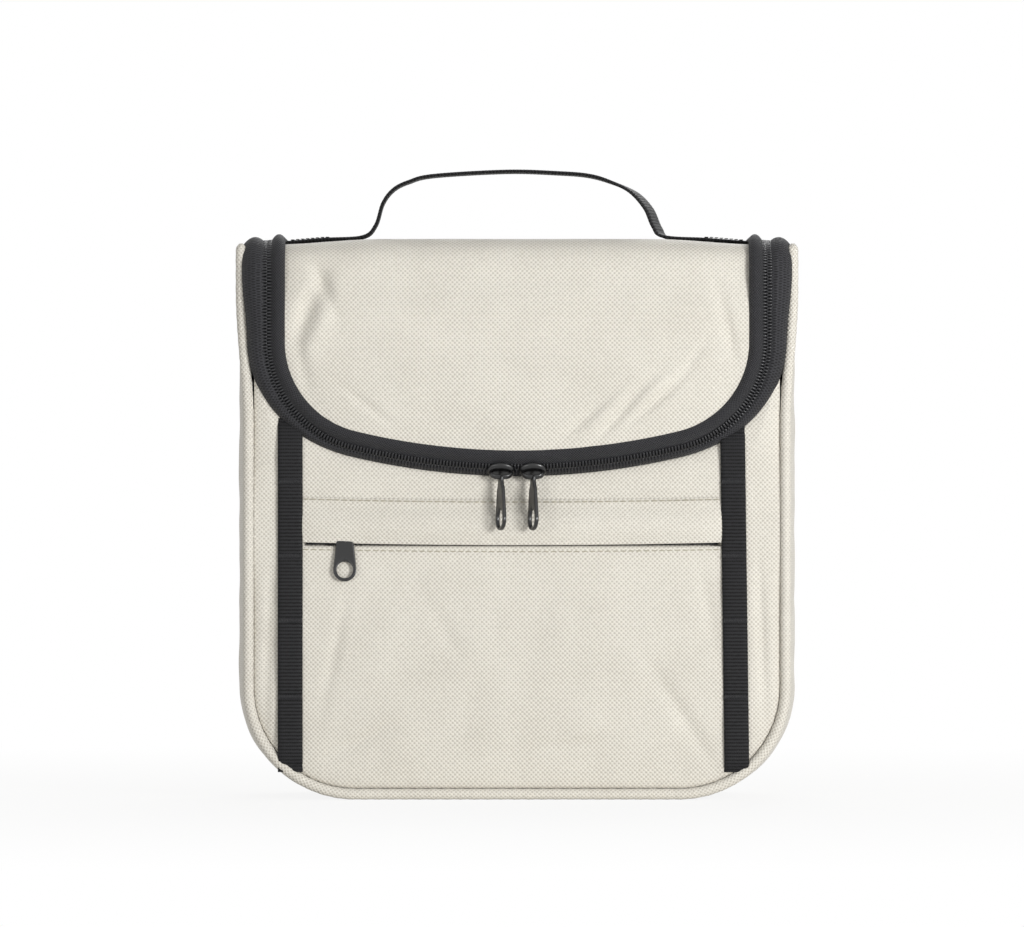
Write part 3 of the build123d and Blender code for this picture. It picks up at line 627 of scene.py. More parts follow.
# %% The front's outline and relief
window_top = 118.2
window_low = 101.8
window_left = -85.2
window_right = 82.0
window_depth = 5.0
pocket_zip_z = 109
panel_corner = 40.3
panel_corner_z = 45.0
corner_in = panel_half - panel_corner
# From the zip's line to the upper edge of the front's cloth
front_seam = 3.2
front_crown = 2.1
front_crown_reach = 11
front_creases = (
    (0.9, -73, 60, 2.6, 22, -12),
    (1.1, 66, 34, 3.2, 24, 32),
    (0.9, -60, 25, 17, 2.6, 25),
    (0.8, 76, 80, 2.6, 16, 10),
    (0.9, 98, 70, 2.0, 36, 2),
    (1.1, -99, 80, 2.0, 45, -2),
    (0.6, 20, 22, 22, 2.4, 8),
    (0.6, -30, 70, 3.0, 16, 30),
)


def panel_edge_distance(x, z):
    """Distance inside the panel's outline: straight sides and bottom, with two round lower corners."""
    ax = np.abs(x)
    straight = np.minimum(panel_half - ax, z - panel_low)
    rounded = panel_corner - np.hypot(ax - corner_in, panel_corner_z - z)
    return np.where((ax > corner_in) & (z < panel_corner_z), rounded, straight)


def panel_bottom(x):
    """Lowest height of the panel at each x: flat, then the corner's circle."""
    reach = np.clip(panel_corner**2 - np.clip(np.abs(x) - corner_in, 0, None) ** 2, 0, None)
    return panel_corner_z - np.sqrt(reach)


def front_relief(x, z):
    """How far the front cloth stands before its flat place: a crown with creases, held flat at the pocket."""
    edge = np.minimum(panel_edge_distance(x, z), -mouth_distance(x, z, front_seam))
    crown = front_crown * (1 - np.exp(-np.clip(edge, 0, None) / front_crown_reach))
    crown = crown + bump_at(x, z, -5, 52, 75, 40)
    creases = crease_sum(x, z, front_creases)
    calm = 1 - 0.92 * np.exp(-(((z - pocket_zip_z) / 22) ** 2))
    crown = crown - 0.9 * np.exp(-np.clip(edge, 0, None) / 1.3)
    return (crown + slow_folds(x, z, 2.2) * 1.2 * np.clip(edge / 10, 0, 1) - creases) * calm


print("the front stands", round(float(front_relief(0.0, 60.0)), 1), "mm proud at its middle")

# %% The front's padded wall
across = panel_half * np.sin(np.linspace(-np.pi / 2, np.pi / 2, 230))
bottom = panel_bottom(across)
top = np.maximum(mouth_edge(across, front_seam), window_top + 3)
parts = [
    bottom + (window_low - 0.2 - bottom) * np.linspace(0, 1, 100)[:, None],
    np.linspace(window_low, window_top, 12)[:, None] + 0 * across,
    window_top + 0.2 + (top - window_top - 0.2) * np.linspace(0, 1, 60)[:, None],
]
front_z = np.concatenate(parts)
front_x = np.broadcast_to(across, front_z.shape)
from_left = ease(front_x, window_left - 0.8, window_left + 0.8)
from_right = ease(-front_x, -window_right - 0.8, -window_right + 0.8)
in_rows = (front_z > window_low - 0.1) & (front_z < window_top + 0.1)
sunk = from_left * from_right * in_rows * window_depth
front_depth = front_y - front_relief(front_x, front_z) + sunk
front_outer = np.stack([front_x, front_depth, front_z], -1)
front_inner = np.stack([front_x, inside_front - 5.6 * ease(front_z, 148, 182), front_z], -1)
front_pad = make_pad("front_pad", front_outer, front_inner, np.stack([front_x, front_z], -1))
finish_piece(
    front_pad, "bag", sand_polyester,
    ("front_panel", "pocket_panel", "pocket_backing", "front_foam", "front_lining"), grey_lining,
)

# %% [markdown]
# The flap over the pocket's zip
# A strip of the shell is seamed above the window and folded back at its lip. It stands out a few
# millimetres, and its shade under the lip is what shows of the pocket from the front. It could be
# a simulated sheet pinned along its seam, but it is short and stiff, so a folded profile carried
# across the bag gives the same lip and leaves it a closed solid.

# %% Pocket flap with its folded lip
lip_z = 104.0
lip_height = 17.6
flap_x = np.linspace(window_left - 1.5, window_right + 1.5, 180)
sag = 1.1 * (1 - (flap_x / 85) ** 2)
lift = 1 - np.exp(-np.clip(np.minimum(flap_x - flap_x[0], flap_x[-1] - flap_x), 0, None) / 7)
t = np.linspace(0, 1, 22)
fold = np.linspace(0.3, np.pi - 0.3, 8)
face_z = np.concatenate([lip_z + lip_height * (1 - t), lip_z - 0.8 * np.sin(fold), lip_z + lip_height * t])
stand = 0.9 + 2.2 * ease(1 - np.abs(2 * t - 1.25), -0.25, 0.9)
face_out = np.concatenate([stand, stand[-1] - 0.5 + 0.5 * np.cos(fold), stand[::-1] - 1.0])
ripple = 0.12 * np.sin(flap_x[:, None] / 9.0) * np.sin((face_z - 100)[None] / 5.0)
flap_out = 0.6 + (face_out[None] - 0.6) * (0.25 + 0.75 * lift[:, None]) + ripple
place = np.stack([flap_x, front_y + 0 * flap_x, -sag], -1)
pocket_lip = carry("pocket_lip", place, to_front, to_top, flap_out, face_z)
finish_piece(pocket_lip, "bag", sand_polyester, ("pocket_flap",))

# %% [markdown]
# The gusset
# One padded strip runs down a side, under the bag and up the other side. It could be a cube with
# rounded corners, but its weave would then meet in seams that the bag doesn't have. A grid along
# one U-shaped line keeps it a single strip, which swells between its seams at the two sides.

# %% The U-shaped line round the bag
def around(half, low, top, corner_size, count):
    """Path down the left side, under the bag and up the right, with outward directions and lengths."""
    side = top - low - corner_size
    arc = corner_size * np.pi / 2
    width = 2 * (half - corner_size)
    s = np.linspace(0, 2 * side + 2 * arc + width, count)
    mark = np.cumsum([side, arc, width, arc])
    turn = (np.clip(s - mark[0], 0, arc) + np.clip(s - mark[2], 0, arc)) / corner_size
    step = np.diff(s)
    middle_turn = (turn[:-1] + turn[1:]) / 2
    x = np.r_[0, np.cumsum(np.sin(middle_turn) * step)] - half
    z = top - np.r_[0, np.cumsum(np.cos(middle_turn) * step)]
    outward = np.stack([-np.cos(turn), 0 * turn, -np.sin(turn)], -1)
    return np.stack([x, 0 * x, z], -1), outward, s


bag_corner = 45.0
gusset_line = around(bag_half, 0.0, gusset_top, bag_corner, 340)
print("length round the gusset", round(float(gusset_line[2][-1]), 1), "mm")

# %% The gusset's padded strip
gusset_front = -32.6
gusset_rear = 43.6
path, outward, run = gusset_line
width_y = np.linspace(gusset_front, gusset_rear, 46)
t = (width_y - gusset_front) / (gusset_rear - gusset_front)
crown = 4 * t * (1 - t)
upright = np.clip(np.abs(outward[:, 0]), 0, 1)[:, None]
near_top = ease(path[:, 2], gusset_top - 35, gusset_top)[:, None]
swell = 2.6 * crown[None] * upright * (1 - 0.5 * near_top) - 0.25
swell = swell - 3.2 * ease(path[:, 2], gusset_top - 7, gusset_top)[:, None] ** 2
swell = swell + slow_folds(run[:, None], width_y[None] * 1.6, 3.1) * 1.3 * crown[None] * upright
base = path[:, None] + np.stack([0 * width_y, width_y, 0 * width_y], -1)[None]
# The front edge of the strip rounds down at both tops, under the zip's band
droop = 2.5 * ease(-width_y, 18, -gusset_front)[None] * near_top
base[..., 2] -= droop
outer = base + outward[:, None] * swell[..., None]
outer[..., 2] = np.maximum(outer[..., 2], 0.05)
inner = base - outward[:, None] * wall_depth
uv = np.stack(np.broadcast_arrays(width_y[None], run[:, None]), -1)
gusset_pad = make_pad("gusset_pad", outer, inner, uv)
finish_piece(gusset_pad, "bag", sand_polyester, ("side_gusset", "gusset_foam", "gusset_lining"), grey_lining)

# %% [markdown]
# The back
# The back is a plain padded wall with the front's outline and no pocket. It could be the front's
# mesh turned round, but that would show the front's creases a second time, so it gets its own
# bulge and its own slow folds.

# %% The back's padded wall
back_top = 221.0
across = panel_half * np.sin(np.linspace(-np.pi / 2, np.pi / 2, 120))
bottom = panel_bottom(across)
back_z = bottom + (back_top - bottom) * np.linspace(0, 1, 120)[:, None]
back_x = np.broadcast_to(across, back_z.shape)
edge = np.minimum(panel_edge_distance(back_x, back_z), back_top - back_z)
bulge = 1.5 * (1 - np.exp(-np.clip(edge, 0, None) / 12))
bulge = bulge + slow_folds(back_x, back_z, 4.0) * np.clip(edge / 10, 0, 1)
back_outer = np.stack([back_x, back_y - 0.2 + bulge, back_z], -1)
back_inner = np.stack([back_x, inside_back + 0 * back_x, back_z], -1)
back_pad = make_pad("back_pad", back_outer, back_inner, np.stack([back_x, back_z], -1))
finish_piece(back_pad, "bag", sand_polyester, ("back_panel", "back_foam", "back_lining"), grey_lining)

# %% [markdown]
# Piping
# Piping is a strip of the shell folded round a thin cord and sewn into the seam, and it puckers a
# little at each stitch. A bevelled curve would be smooth all the way, so the round profile here
# swells and shrinks along its length, and it narrows where the ends are turned in at the top.

# %% Piping round both edges
piping_radius = 2.2
pucker_length = 5.5
# The cord's middle runs inside the bag's outline, with a smaller corner
piping_half = 107.6
piping_low = 2.4
piping_corner = 42.6
turn = np.linspace(0, 2 * np.pi, 17)[:-1] + np.pi / 16
for name, y, top, nodes in (
    ("front_piping_sleeve", -34.9, 223.0, ("front_piping", "front_piping_cord")),
    ("back_piping_sleeve", 45.9, 221.0, ("back_piping", "back_piping_cord")),
):
    path, outward, run = around(piping_half, piping_low, top, piping_corner, 420)
    if y < 0:
        high = ease(path[:, 2], 150, 205)
        path[:, 0] += np.sign(path[:, 0]) * 3.0 * high
        path[:, 1] += 2.2 * high
    path[:, 1] += y
    end = np.sqrt(np.clip(1 - ease(path[:, 2], top - 3.5, top + 0.6) ** 2, 0.04, 1))[:, None]
    pucker = (piping_radius + 0.06 * np.sin(run * 2 * np.pi / pucker_length)[:, None]) * end
    piping = carry(name, path, outward, to_front, np.cos(turn)[None] * pucker, np.sin(turn)[None] * pucker)
    finish_piece(piping, "bag", sand_polyester, nodes)

# %% [markdown]
# Seam tapes inside
# Raw edges inside a bag are bound with narrow tape, and the hinge's seam is covered with a wider
# one. They show only with the lid open, so plain flat profiles are enough, and a simulated or
# sculpted tape would add faces that nobody sees.

# %% Seam tapes inside
binding_half = 106.4
binding_low = 3.6
binding_corner = 41.4
for name, y, top in (("front_seam_binding", -27.2, 166.0), ("back_seam_binding", 40.0, 214.0)):
    path, outward = around(binding_half, binding_low, top, binding_corner, 200)[:2]
    a = np.array([0, 0, 0, 0, -0.6, -0.6, -0.6, -0.6])
    b = np.array([0, -1.0, -2.0, -3.0, -3.0, -2.0, -1.0, 0])
    path[:, 1] = y
    tape = carry(name, path, outward, to_front, a, b)
    finish_piece(tape, "bag", black_tape, ("front_binding" if y < 0 else "back_binding",))
seam_x = np.linspace(-98, 98, 60)
seam_place = np.stack([seam_x, 42.5 + 0 * seam_x, 216 + 0 * seam_x], -1)
cover_z = np.array([-5, -2.5, 0, 2.5, 5, 5, 2.5, 0, -2.5, -5.0])
cover_out = np.array([0, 0, 0, 0, 0, 0.5, 0.6, 0.6, 0.6, 0.5])
seam_tape = carry("hinge_seam_cover", seam_place, to_top, to_front, cover_z, cover_out)
finish_piece(seam_tape, "bag", black_tape, ("hinge_seam_tape",))

# %% [markdown]
# The lid's cloth hinge
# At the back the shell is one cloth that runs up from the back wall and over into the lid. It has
# to bend when the lid opens. An armature could bend it, but the shared parts carry joints, not
# armatures, so it is a strip of its own whose section turns from the bag over into the lid, and it
# moves with neither body.

# %% Cloth hinge at the back
hinge_half = 104.5
# y and z round the strip's section: up its outer face, over into the lid, and back down inside
hinge_section = np.array([
    (46.3, 216.5), (46.5, 218.0), (46.6, 219.5), (46.6, 221.0), (46.6, 222.0), (46.55, 223.0), (46.4, 224.0),
    (46.1, 224.7), (45.2, 224.95), (43.6, 225.0), (43.6, 224.3), (45.0, 224.25), (45.6, 224.0), (45.8, 223.3),
    (45.85, 222.6), (45.9, 221.8), (45.9, 221.0), (45.9, 219.5), (45.8, 218.0), (45.7, 216.5),
])
hinge_x = np.linspace(-hinge_half, hinge_half, 160)
hinge_y, hinge_z = hinge_section.T
corner_drop = 1.6 * ease(np.abs(hinge_x), 92, hinge_half)[:, None] * ease(hinge_z, 221, 225)[None]
hinge_place = np.stack([hinge_x, 0 * hinge_x, 0 * hinge_x], -1)
hinge = carry("lid_cloth_hinge", hinge_place, (0, 1.0, 0), to_top, hinge_y, hinge_z[None] - corner_drop)
finish_piece(hinge, None, sand_polyester)
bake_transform(hinge)

# %% [markdown]
# The zip's tapes
# The zip's two tapes are folded into soft rolls beside the chain, thin along the bottom and full at
# the sides. They could be bevelled curves, but their section changes all the way: it widens round
# the corners and thins again over the top edge. So each roll is a profile carried along the zip's
# line, as wide and as full at each station as the formula says.

# %% The two rolls of tape
roll_thick = 0.9
stations = np.linspace(-run_rear, run_rear, 620)
place, outward, normal, tilt = zip_line(stations)
size = np.abs(stations)
chain_depth = chain_depth_at(tilt)
side_share = ease(size, run_low * 0.7, run_corner)
over_share = ease(size, run_side, run_bend)
p = np.linspace(0, 1, 14)
end_fade = ease(run_rear - size, -1.0, 13.0)
lid_full = (0.9 + 1.5 * side_share * end_fade)[:, None]
end_sink = 1.3 * (1 - end_fade[:, None])
roll_top = -0.2 - (chain_depth[:, None] - 0.5) * p**2 + lid_full * np.sin(np.pi * p) ** 0.8 - end_sink
roll_across = -7.2 + 6.1 * p
lid_a = np.concatenate([roll_across, roll_across[::-1]])
lid_b = np.concatenate([roll_top, roll_top[:, ::-1] - roll_thick], 1)
lid_roll = carry("lid_zip_roll", place, outward, normal, lid_a, lid_b)
finish_piece(lid_roll, "lid", black_tape, ("main_zip_tape_lid",))
# The bag's roll ends this far out from the chain: more round the corners, most at the sides
knee = 3.1 + 5.0 * ease(size, run_low, run_corner) + 2.1 * ease(size, run_corner, run_side)
# It ends this deep behind the lid's face, and less deep on top of the bag
end_depth = 6.3 - 3.2 * over_share
body_full = (0.5 + 2.7 * side_share * end_fade)[:, None]
body_top = -chain_depth[:, None] * (1 - p) - end_depth[:, None] * p + body_full * np.sin(np.pi * p) ** 0.75
# Where the bag's roll starts beside the chain
beside_chain = 0.9
body_across = beside_chain + (knee[:, None] - beside_chain) * p
body_a = np.concatenate([body_across, body_across[:, ::-1]], 1)
body_b = np.concatenate([body_top, body_top[:, ::-1] - roll_thick], 1)
body_roll = carry("body_zip_roll", place, outward, normal, body_a, body_b)
finish_piece(body_roll, "bag", black_tape, ("main_zip_tape_body",))

# %% [markdown]
# The zip's chain
# The coil is a nylon spiral sewn to the edge of each tape: in view it is two rows of short rods
# that mesh in the middle. A real spiral could be a curve with hundreds of turns, but its turns lie
# hidden in the tape, so only the rods that show are made, half a pitch apart on the two sides.

# %% Flat tape under the coil
place, outward, normal, tilt = zip_line(stations)
c, s = np.cos(tilt)[:, None], np.sin(tilt)[:, None]
middle = place - normal * chain_depth_at(tilt)[:, None]
for name, body, side in (("lid_chain_tape", "lid", -1), ("body_chain_tape", "bag", 1)):
    reach = side * np.array([0.06, 1.2, 2.4, 3.4, 3.4, 2.4, 1.2, 0.06])
    thick = np.array([0.28, 0.28, 0.28, 0.2, -0.3, -0.3, -0.3, -0.3])
    strip = carry(name, middle, outward * c - normal * s, outward * s + normal * c, reach, thick)
    finish_piece(strip, body, black_tape)

# %% The coil's two rows of teeth
tooth_pitch = 1.3
for name, body, side, node_name in (
    ("lid_coil_teeth", "lid", -1, "main_zip_coil_lid"), ("body_coil_teeth", "bag", 1, "main_zip_coil_body"),
):
    at = np.arange(-run_rear + 1, run_rear - 1, tooth_pitch) + (0 if side < 0 else tooth_pitch / 2)
    place, outward, normal, tilt = zip_line(at)
    depth = chain_depth_at(tilt)[:, None]
    c, s = np.cos(tilt)[:, None], np.sin(tilt)[:, None]
    across_tape = outward * c - normal * s
    above = outward * s + normal * c
    centre = place - normal * depth + across_tape * side * 1.25 + above * 0.85
    teeth = repeat_bead(
        name, centre, across_tape, np.cross(across_tape, above), above,
        half_length=1.6, radius=0.52, height=0.6,
    )
    finish_piece(teeth, body, black_nylon, (node_name,))

# %% [markdown]
# Stitches at the pocket
# Two rows of lockstitch hold the pocket, one above the flap and one below the zip. Stitches could
# be painted into the cloth's colour, but each one is a small raised thread that catches light, so
# they are rods laid on the cloth's own relief, one for each stitch of about 3 mm.

# %% Rows of stitches at the pocket
stitch_pitch = 3.1
rows_of_stitches = []
for level, curve in ((120.6, 1.2), (100.4, 0.9)):
    x = np.arange(-84.5, 81.5, stitch_pitch)
    z = level - curve * (1 - (x / 85) ** 2)
    lie = front_y - front_relief(x, z) - (1.25 if level > 110 else 0.02)
    rows_of_stitches.append(np.stack([x, lie, z], -1))
spots = np.concatenate(rows_of_stitches)
pocket_stitches = repeat_bead(
    "pocket_stitches", spots, to_right, to_top, to_front, half_length=1.15, radius=0.24, height=0.13
)
finish_piece(pocket_stitches, "bag", sand_thread)

# %% [markdown]
# Webbing straps
# Two straps of heavy webbing run down the front, tacked at four levels and a little slack between.
# Webbing is woven with ribs across it. A bump map alone would leave its outline smooth, so the ribs
# are real relief on the strap's face, and the material's weave adds the finer threads.

# %% Webbing straps with ribs and slack
rib_pitch = 1.4
tack_levels = np.array([127.4, 97.8, 71.8, 41.4])


def strap_centre(side, z):
    """Middle of a strap at each height: upright on the left, leaning on the right."""
    return -90.8 + 0 * z if side == "left" else 88.0 - 1.8 * (z - 11) / 145


for side in ("left", "right"):
    z = np.linspace(11.2, 153.0 if side == "left" else 150.5, 520)
    x = strap_centre(side, z)
    nearest = np.min(np.abs(z[:, None] - tack_levels[None]), 1)
    slack = 0.4 * (1 - np.exp(-((nearest / 8) ** 2)))
    rib = 0.24 * np.abs(np.sin(np.pi * z / rib_pitch))
    a = np.array([-5, -4.6, -3.2, -1.6, 0, 1.6, 3.2, 4.6, 5, 4.6, 3.2, 1.6, 0, -1.6, -3.2, -4.6])
    face = np.array([0.55, 1.0, 1.15, 1.2, 1.2, 1.2, 1.15, 1.0, 0.55, 0, 0, 0, 0, 0, 0, 0])
    b = face[None] + np.where(face > 0.6, 1, 0)[None] * rib[:, None]
    lie = front_y - front_relief(x, z) - 0.1 - slack
    strap = carry(f"{side}_strap", np.stack([x, lie, z], -1), to_right, to_front, a, b)
    finish_piece(strap, "bag", black_webbing, (f"{side}_webbing",))

# %% [markdown]
# Bar tacks
# A bar tack is a short dense zigzag that holds a strap where it is pulled. It could be one raised
# bar, but its threads show as fine slanted lines, so each thread is a rod of its own.

# %% Bar tacks of zigzag thread
tack_points = []
for side in ("left", "right"):
    for level in tack_levels:
        x = np.arange(-4.3, 4.4, 0.62)
        z = level + 0 * x
        at = strap_centre(side, z) + x
        tack_points.append(np.stack([at, front_y - front_relief(at, z) - 1.55, z], -1))
spots = np.concatenate(tack_points)
slanted = (0.25, 0, 0.968)
beside = (0.968, 0, -0.25)
bar_tacks = repeat_bead(
    "bar_tacks", spots, slanted, beside, to_front, half_length=0.95, radius=0.3, height=0.3
)
finish_piece(bar_tacks, "bag", black_thread, ("webbing_bar_tacks",))

# %% [markdown]
# The handle
# One length of webbing is sewn flat to the lid at both ends and stands up in an arch between. It
# could be an extruded outline, but webbing keeps its width and thickness as it bends and twists.
# So a profile is carried along a smooth curve through a few points, one piece from the tails on the
# lid over the arch and not attached to any body. Real webbing bends where it leaves the lid.

# %% Handle strap along a smooth curve
# x and z of the strap's middle, from the left tail over the arch to the right tail
handle_points = np.array([
    (-93, 224.1), (-78, 225.4), (-62.5, 226.4), (-57.2, 231), (-54.2, 240), (-50, 245.5), (-43.8, 248.7),
    (-33.6, 251.2), (-4, 252.9), (16.8, 252.3), (28.8, 251.3), (37.5, 248.9), (47, 244.6), (53.2, 238),
    (56.6, 230.5), (60.5, 226.4), (76, 225.4), (93, 224.1),
])


def through(points, steps):
    """Smooth curve through points: between two of them, the cubic that keeps the neighbours' directions."""
    padded = np.concatenate([2 * points[:1] - points[1:2], points, 2 * points[-1:] - points[-2:-1]])
    p0, p1, p2, p3 = padded[:-3], padded[1:-2], padded[2:-1], padded[3:]
    t = np.linspace(0, 1, steps, endpoint=False)[None, :, None]
    pieces = 0.5 * (
        2 * p1[:, None] + (p2 - p0)[:, None] * t + (2 * p0 - 5 * p1 + 4 * p2 - p3)[:, None] * t**2
        + (3 * p1 - p0 - 3 * p2 + p3)[:, None] * t**3
    )
    return np.concatenate([pieces.reshape(-1, points.shape[1]), points[-1:]])


fine = through(handle_points, 60)
length = np.r_[0, np.cumsum(np.linalg.norm(np.diff(fine, axis=0), axis=1))]
at = np.linspace(0, length[-1], 900)
curve = np.stack([np.interp(at, length, fine[:, 0]), 0 * at, np.interp(at, length, fine[:, 1])], -1)
tangent = np.gradient(curve, axis=0)
tangent /= np.linalg.norm(tangent, axis=1)[:, None]
up = np.stack([-tangent[:, 2], 0 * at, tangent[:, 0]], -1)
twist = np.radians(11) * ease(curve[:, 0], 30, 52) * (1 - ease(curve[:, 0], 57, 64))
wide = np.stack([0 * at, np.cos(twist), 0 * at], -1) + np.stack([np.sin(twist), 0 * at, 0 * at], -1)
wide /= np.linalg.norm(wide, axis=1)[:, None]
rib = 0.05 * np.abs(np.sin(np.pi * at / rib_pitch))
a = np.array([-10, -9.5, -6, -3, 0, 3, 6, 9.5, 10, 9.5, 6, 3, 0, -3, -6, -9.5])
upper_face = np.array([0, 0.55, 0.65, 0.68, 0.68, 0.68, 0.65, 0.55])
b = np.concatenate([upper_face, -upper_face])
handle_strap = carry("handle_strap", curve, wide, up, a, b[None] + np.sign(b)[None] * rib[:, None])
finish_piece(handle_strap, None, black_webbing, ("handle_tails", "handle_loop"))
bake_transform(handle_strap)

# %% [markdown]
# Box stitches
# Each tail of the handle is held by a box of stitches. They could share the tail's material, but
# thread is rounder and duller than webbing, so they are rods of thread laid along the box's sides.

# %% Box stitches on the handle's tails
box = []
for side in (-1, 1):
    x = np.r_[np.arange(-7, 7.1, 2), np.full(8, 7.0), np.arange(7, -7.1, -2), np.full(8, -7.0)]
    y = np.r_[np.full(8, -7.5), np.linspace(-7.5, 7.5, 8), np.full(8, 7.5), np.linspace(7.5, -7.5, 8)]
    x = x + side * 83.6
    tail_z = np.interp(x, [-93, -78, 78, 93], [224.1, 225.4, 225.4, 224.1])
    box.append(np.stack([x, y, tail_z + 0.85], -1))
box_stitches = repeat_bead(
    "handle_box_stitches", np.concatenate(box), to_right, (0, 1.0, 0), to_top,
    half_length=0.8, radius=0.22, height=0.2,
)
finish_piece(box_stitches, "lid", black_thread, ("handle_tack_stitches",))

# %% [markdown]
# The pocket's zip
# The pocket's zip lies in the window under its flap, where only its shade and its slider show. It
# could be left dark and empty, but the window is seen into from below, so it gets the same two
# tapes and two rows of rods as the main zip, on a straight line.

# %% Pocket zip tapes and coil
pocket_tooth_pitch = 1.1
zip_x = np.linspace(-84.5, 80.5, 120)
zip_place = np.stack([zip_x, -32.6 + 0 * zip_x, pocket_zip_z + 0 * zip_x], -1)
for half, where, sign in (("top", "upper", 1), ("low", "lower", -1)):
    out = np.array([0.2, 0.2, 0.15, 0.0, -0.6, -0.45, -0.4, -0.4])
    z = sign * np.array([0.3, 2.5, 4.5, 6.8, 6.8, 4.5, 2.5, 0.3])
    tape = carry(f"pocket_tape_{half}", zip_place, to_front, to_top, out, z)
    finish_piece(tape, "bag", black_tape, (f"pocket_zip_tape_{where}",))
for half, where, sign in (("top", "upper", 1), ("low", "lower", -1)):
    x = np.arange(-82, 78, pocket_tooth_pitch) + (pocket_tooth_pitch / 2 if sign > 0 else 0)
    centre = np.stack([x, -33.4 + 0 * x, pocket_zip_z + sign * 0.95 + 0 * x], -1)
    teeth = repeat_bead(
        f"pocket_teeth_{half}", centre, to_top, to_right, to_front, half_length=1.2, radius=0.42, height=0.4
    )
    finish_piece(teeth, "bag", black_nylon, (f"pocket_zip_coil_{where}",))

# %% [markdown]
# Castings
# Sliders, pulls and stops are small zinc castings, rounded at every edge because they come from a
# mould and are tumbled. A cube with a Bevel modifier is the usual start. Here an oval plate is a
# square grid pressed onto a disc, and a pull is a rounded bar carried round its hole, so the soft
# edge is part of the formula and the hole needs no cutting.

# %% A domed plate
def domed_plate(name, centre, along, across, upward, half_long, half_wide, low, high, crown):
    """Closed plate with an oval outline: a square grid pressed onto a disc, its top rising to a crown."""
    u, v = np.meshgrid(np.linspace(-1, 1, 25), np.linspace(-1, 1, 25))
    x = u * np.sqrt(1 - v**2 / 2) * half_long
    y = v * np.sqrt(1 - u**2 / 2) * half_wide
    r = np.clip((x / half_long) ** 2 + (y / half_wide) ** 2, 0, 1)
    top = low + (high - low) * (1 - r**3) ** 0.5 + crown * (1 - r)
    bottom = low - (high - low) * 0.25 * (1 - r**3) ** 0.5
    spot = centre + x[..., None] * along + y[..., None] * across
    outer = spot + top[..., None] * upward
    return make_pad(name, outer, spot + bottom[..., None] * upward, np.stack([x, y], -1))


print("sliders and pulls are finished in", black_lacquer.name)


# %% A tapered tab with a hole
def pull_tab(
    name, eye, sideways, down, face, length, head_width, neck_width, ring, hole_wide, hole_tall, thick
):
    """Tab with a hole near its foot: a narrow head, shoulders, two straight tapering sides, a half circle.

    Every outline point is joined to the hole's oval along a line; the section between is a rounded bar.
    """
    foot = length - ring / 2
    n = 48
    side_t = np.linspace(0, 1, n, endpoint=False)
    half = np.linspace(-np.pi / 2, np.pi / 2, n, endpoint=False)
    width = np.interp(side_t * foot, [0, 1.5, 4.5, foot], [head_width, head_width, neck_width, ring])
    left = np.stack([-width / 2, side_t * foot], -1)
    low = np.stack([ring / 2 * np.sin(half), foot + ring / 2 * np.cos(half)], -1)
    right = left[::-1] * [-1, 1]
    over = np.linspace(0, np.pi, 16)
    head = np.stack([head_width / 2 * np.cos(over), -0.9 * np.sin(over)], -1)[1:-1]
    line = np.concatenate([left, low, right, head])
    ray = line - [0, foot]
    ray_size = np.hypot(ray[:, 0] / hole_wide, ray[:, 1] / hole_tall)[:, None] * 2
    hole = [0, foot] + ray / ray_size
    s = (1 - np.cos(np.linspace(0, np.pi, 11))) / 2
    swell = thick / 2 * (1 - np.abs(2 * s - 1) ** 4) ** 0.25
    share = np.concatenate([s, s[-2:0:-1]])
    lift = np.concatenate([swell, -swell[-2:0:-1]])
    flat_place = hole[:, None] + (line - hole)[:, None] * share[None, :, None]
    points = eye + flat_place[..., :1] * sideways + flat_place[..., 1:] * down + lift[None, :, None] * face
    rows, columns = points.shape[:2]
    faces = grid_quads(rows, columns, 0, True)
    joint = np.stack([np.arange(columns) + (rows - 1) * columns, np.arange(columns)], -1)
    after = np.roll(joint, -1, 0)
    close = np.stack([joint[:, 0], joint[:, 1], after[:, 1], after[:, 0]], -1)
    return make_piece(name, points.reshape(-1, 3), np.concatenate([faces, close]), flat_place.reshape(-1, 2))


print("sliders sit", round(float(chain_depth_at(np.radians(low_tilt))), 1), "mm behind the lid's face")

# %% [markdown]
# Main sliders
# A slider is two plates with the chain between them and a bridge on top that holds the pull. Both
# sliders meet at the middle of the low arc, and each is turned to the arc at its own place. One
# slider could be a mirrored copy of the other, but a mirrored object has a scale of minus one, and
# every piece here stays unscaled.

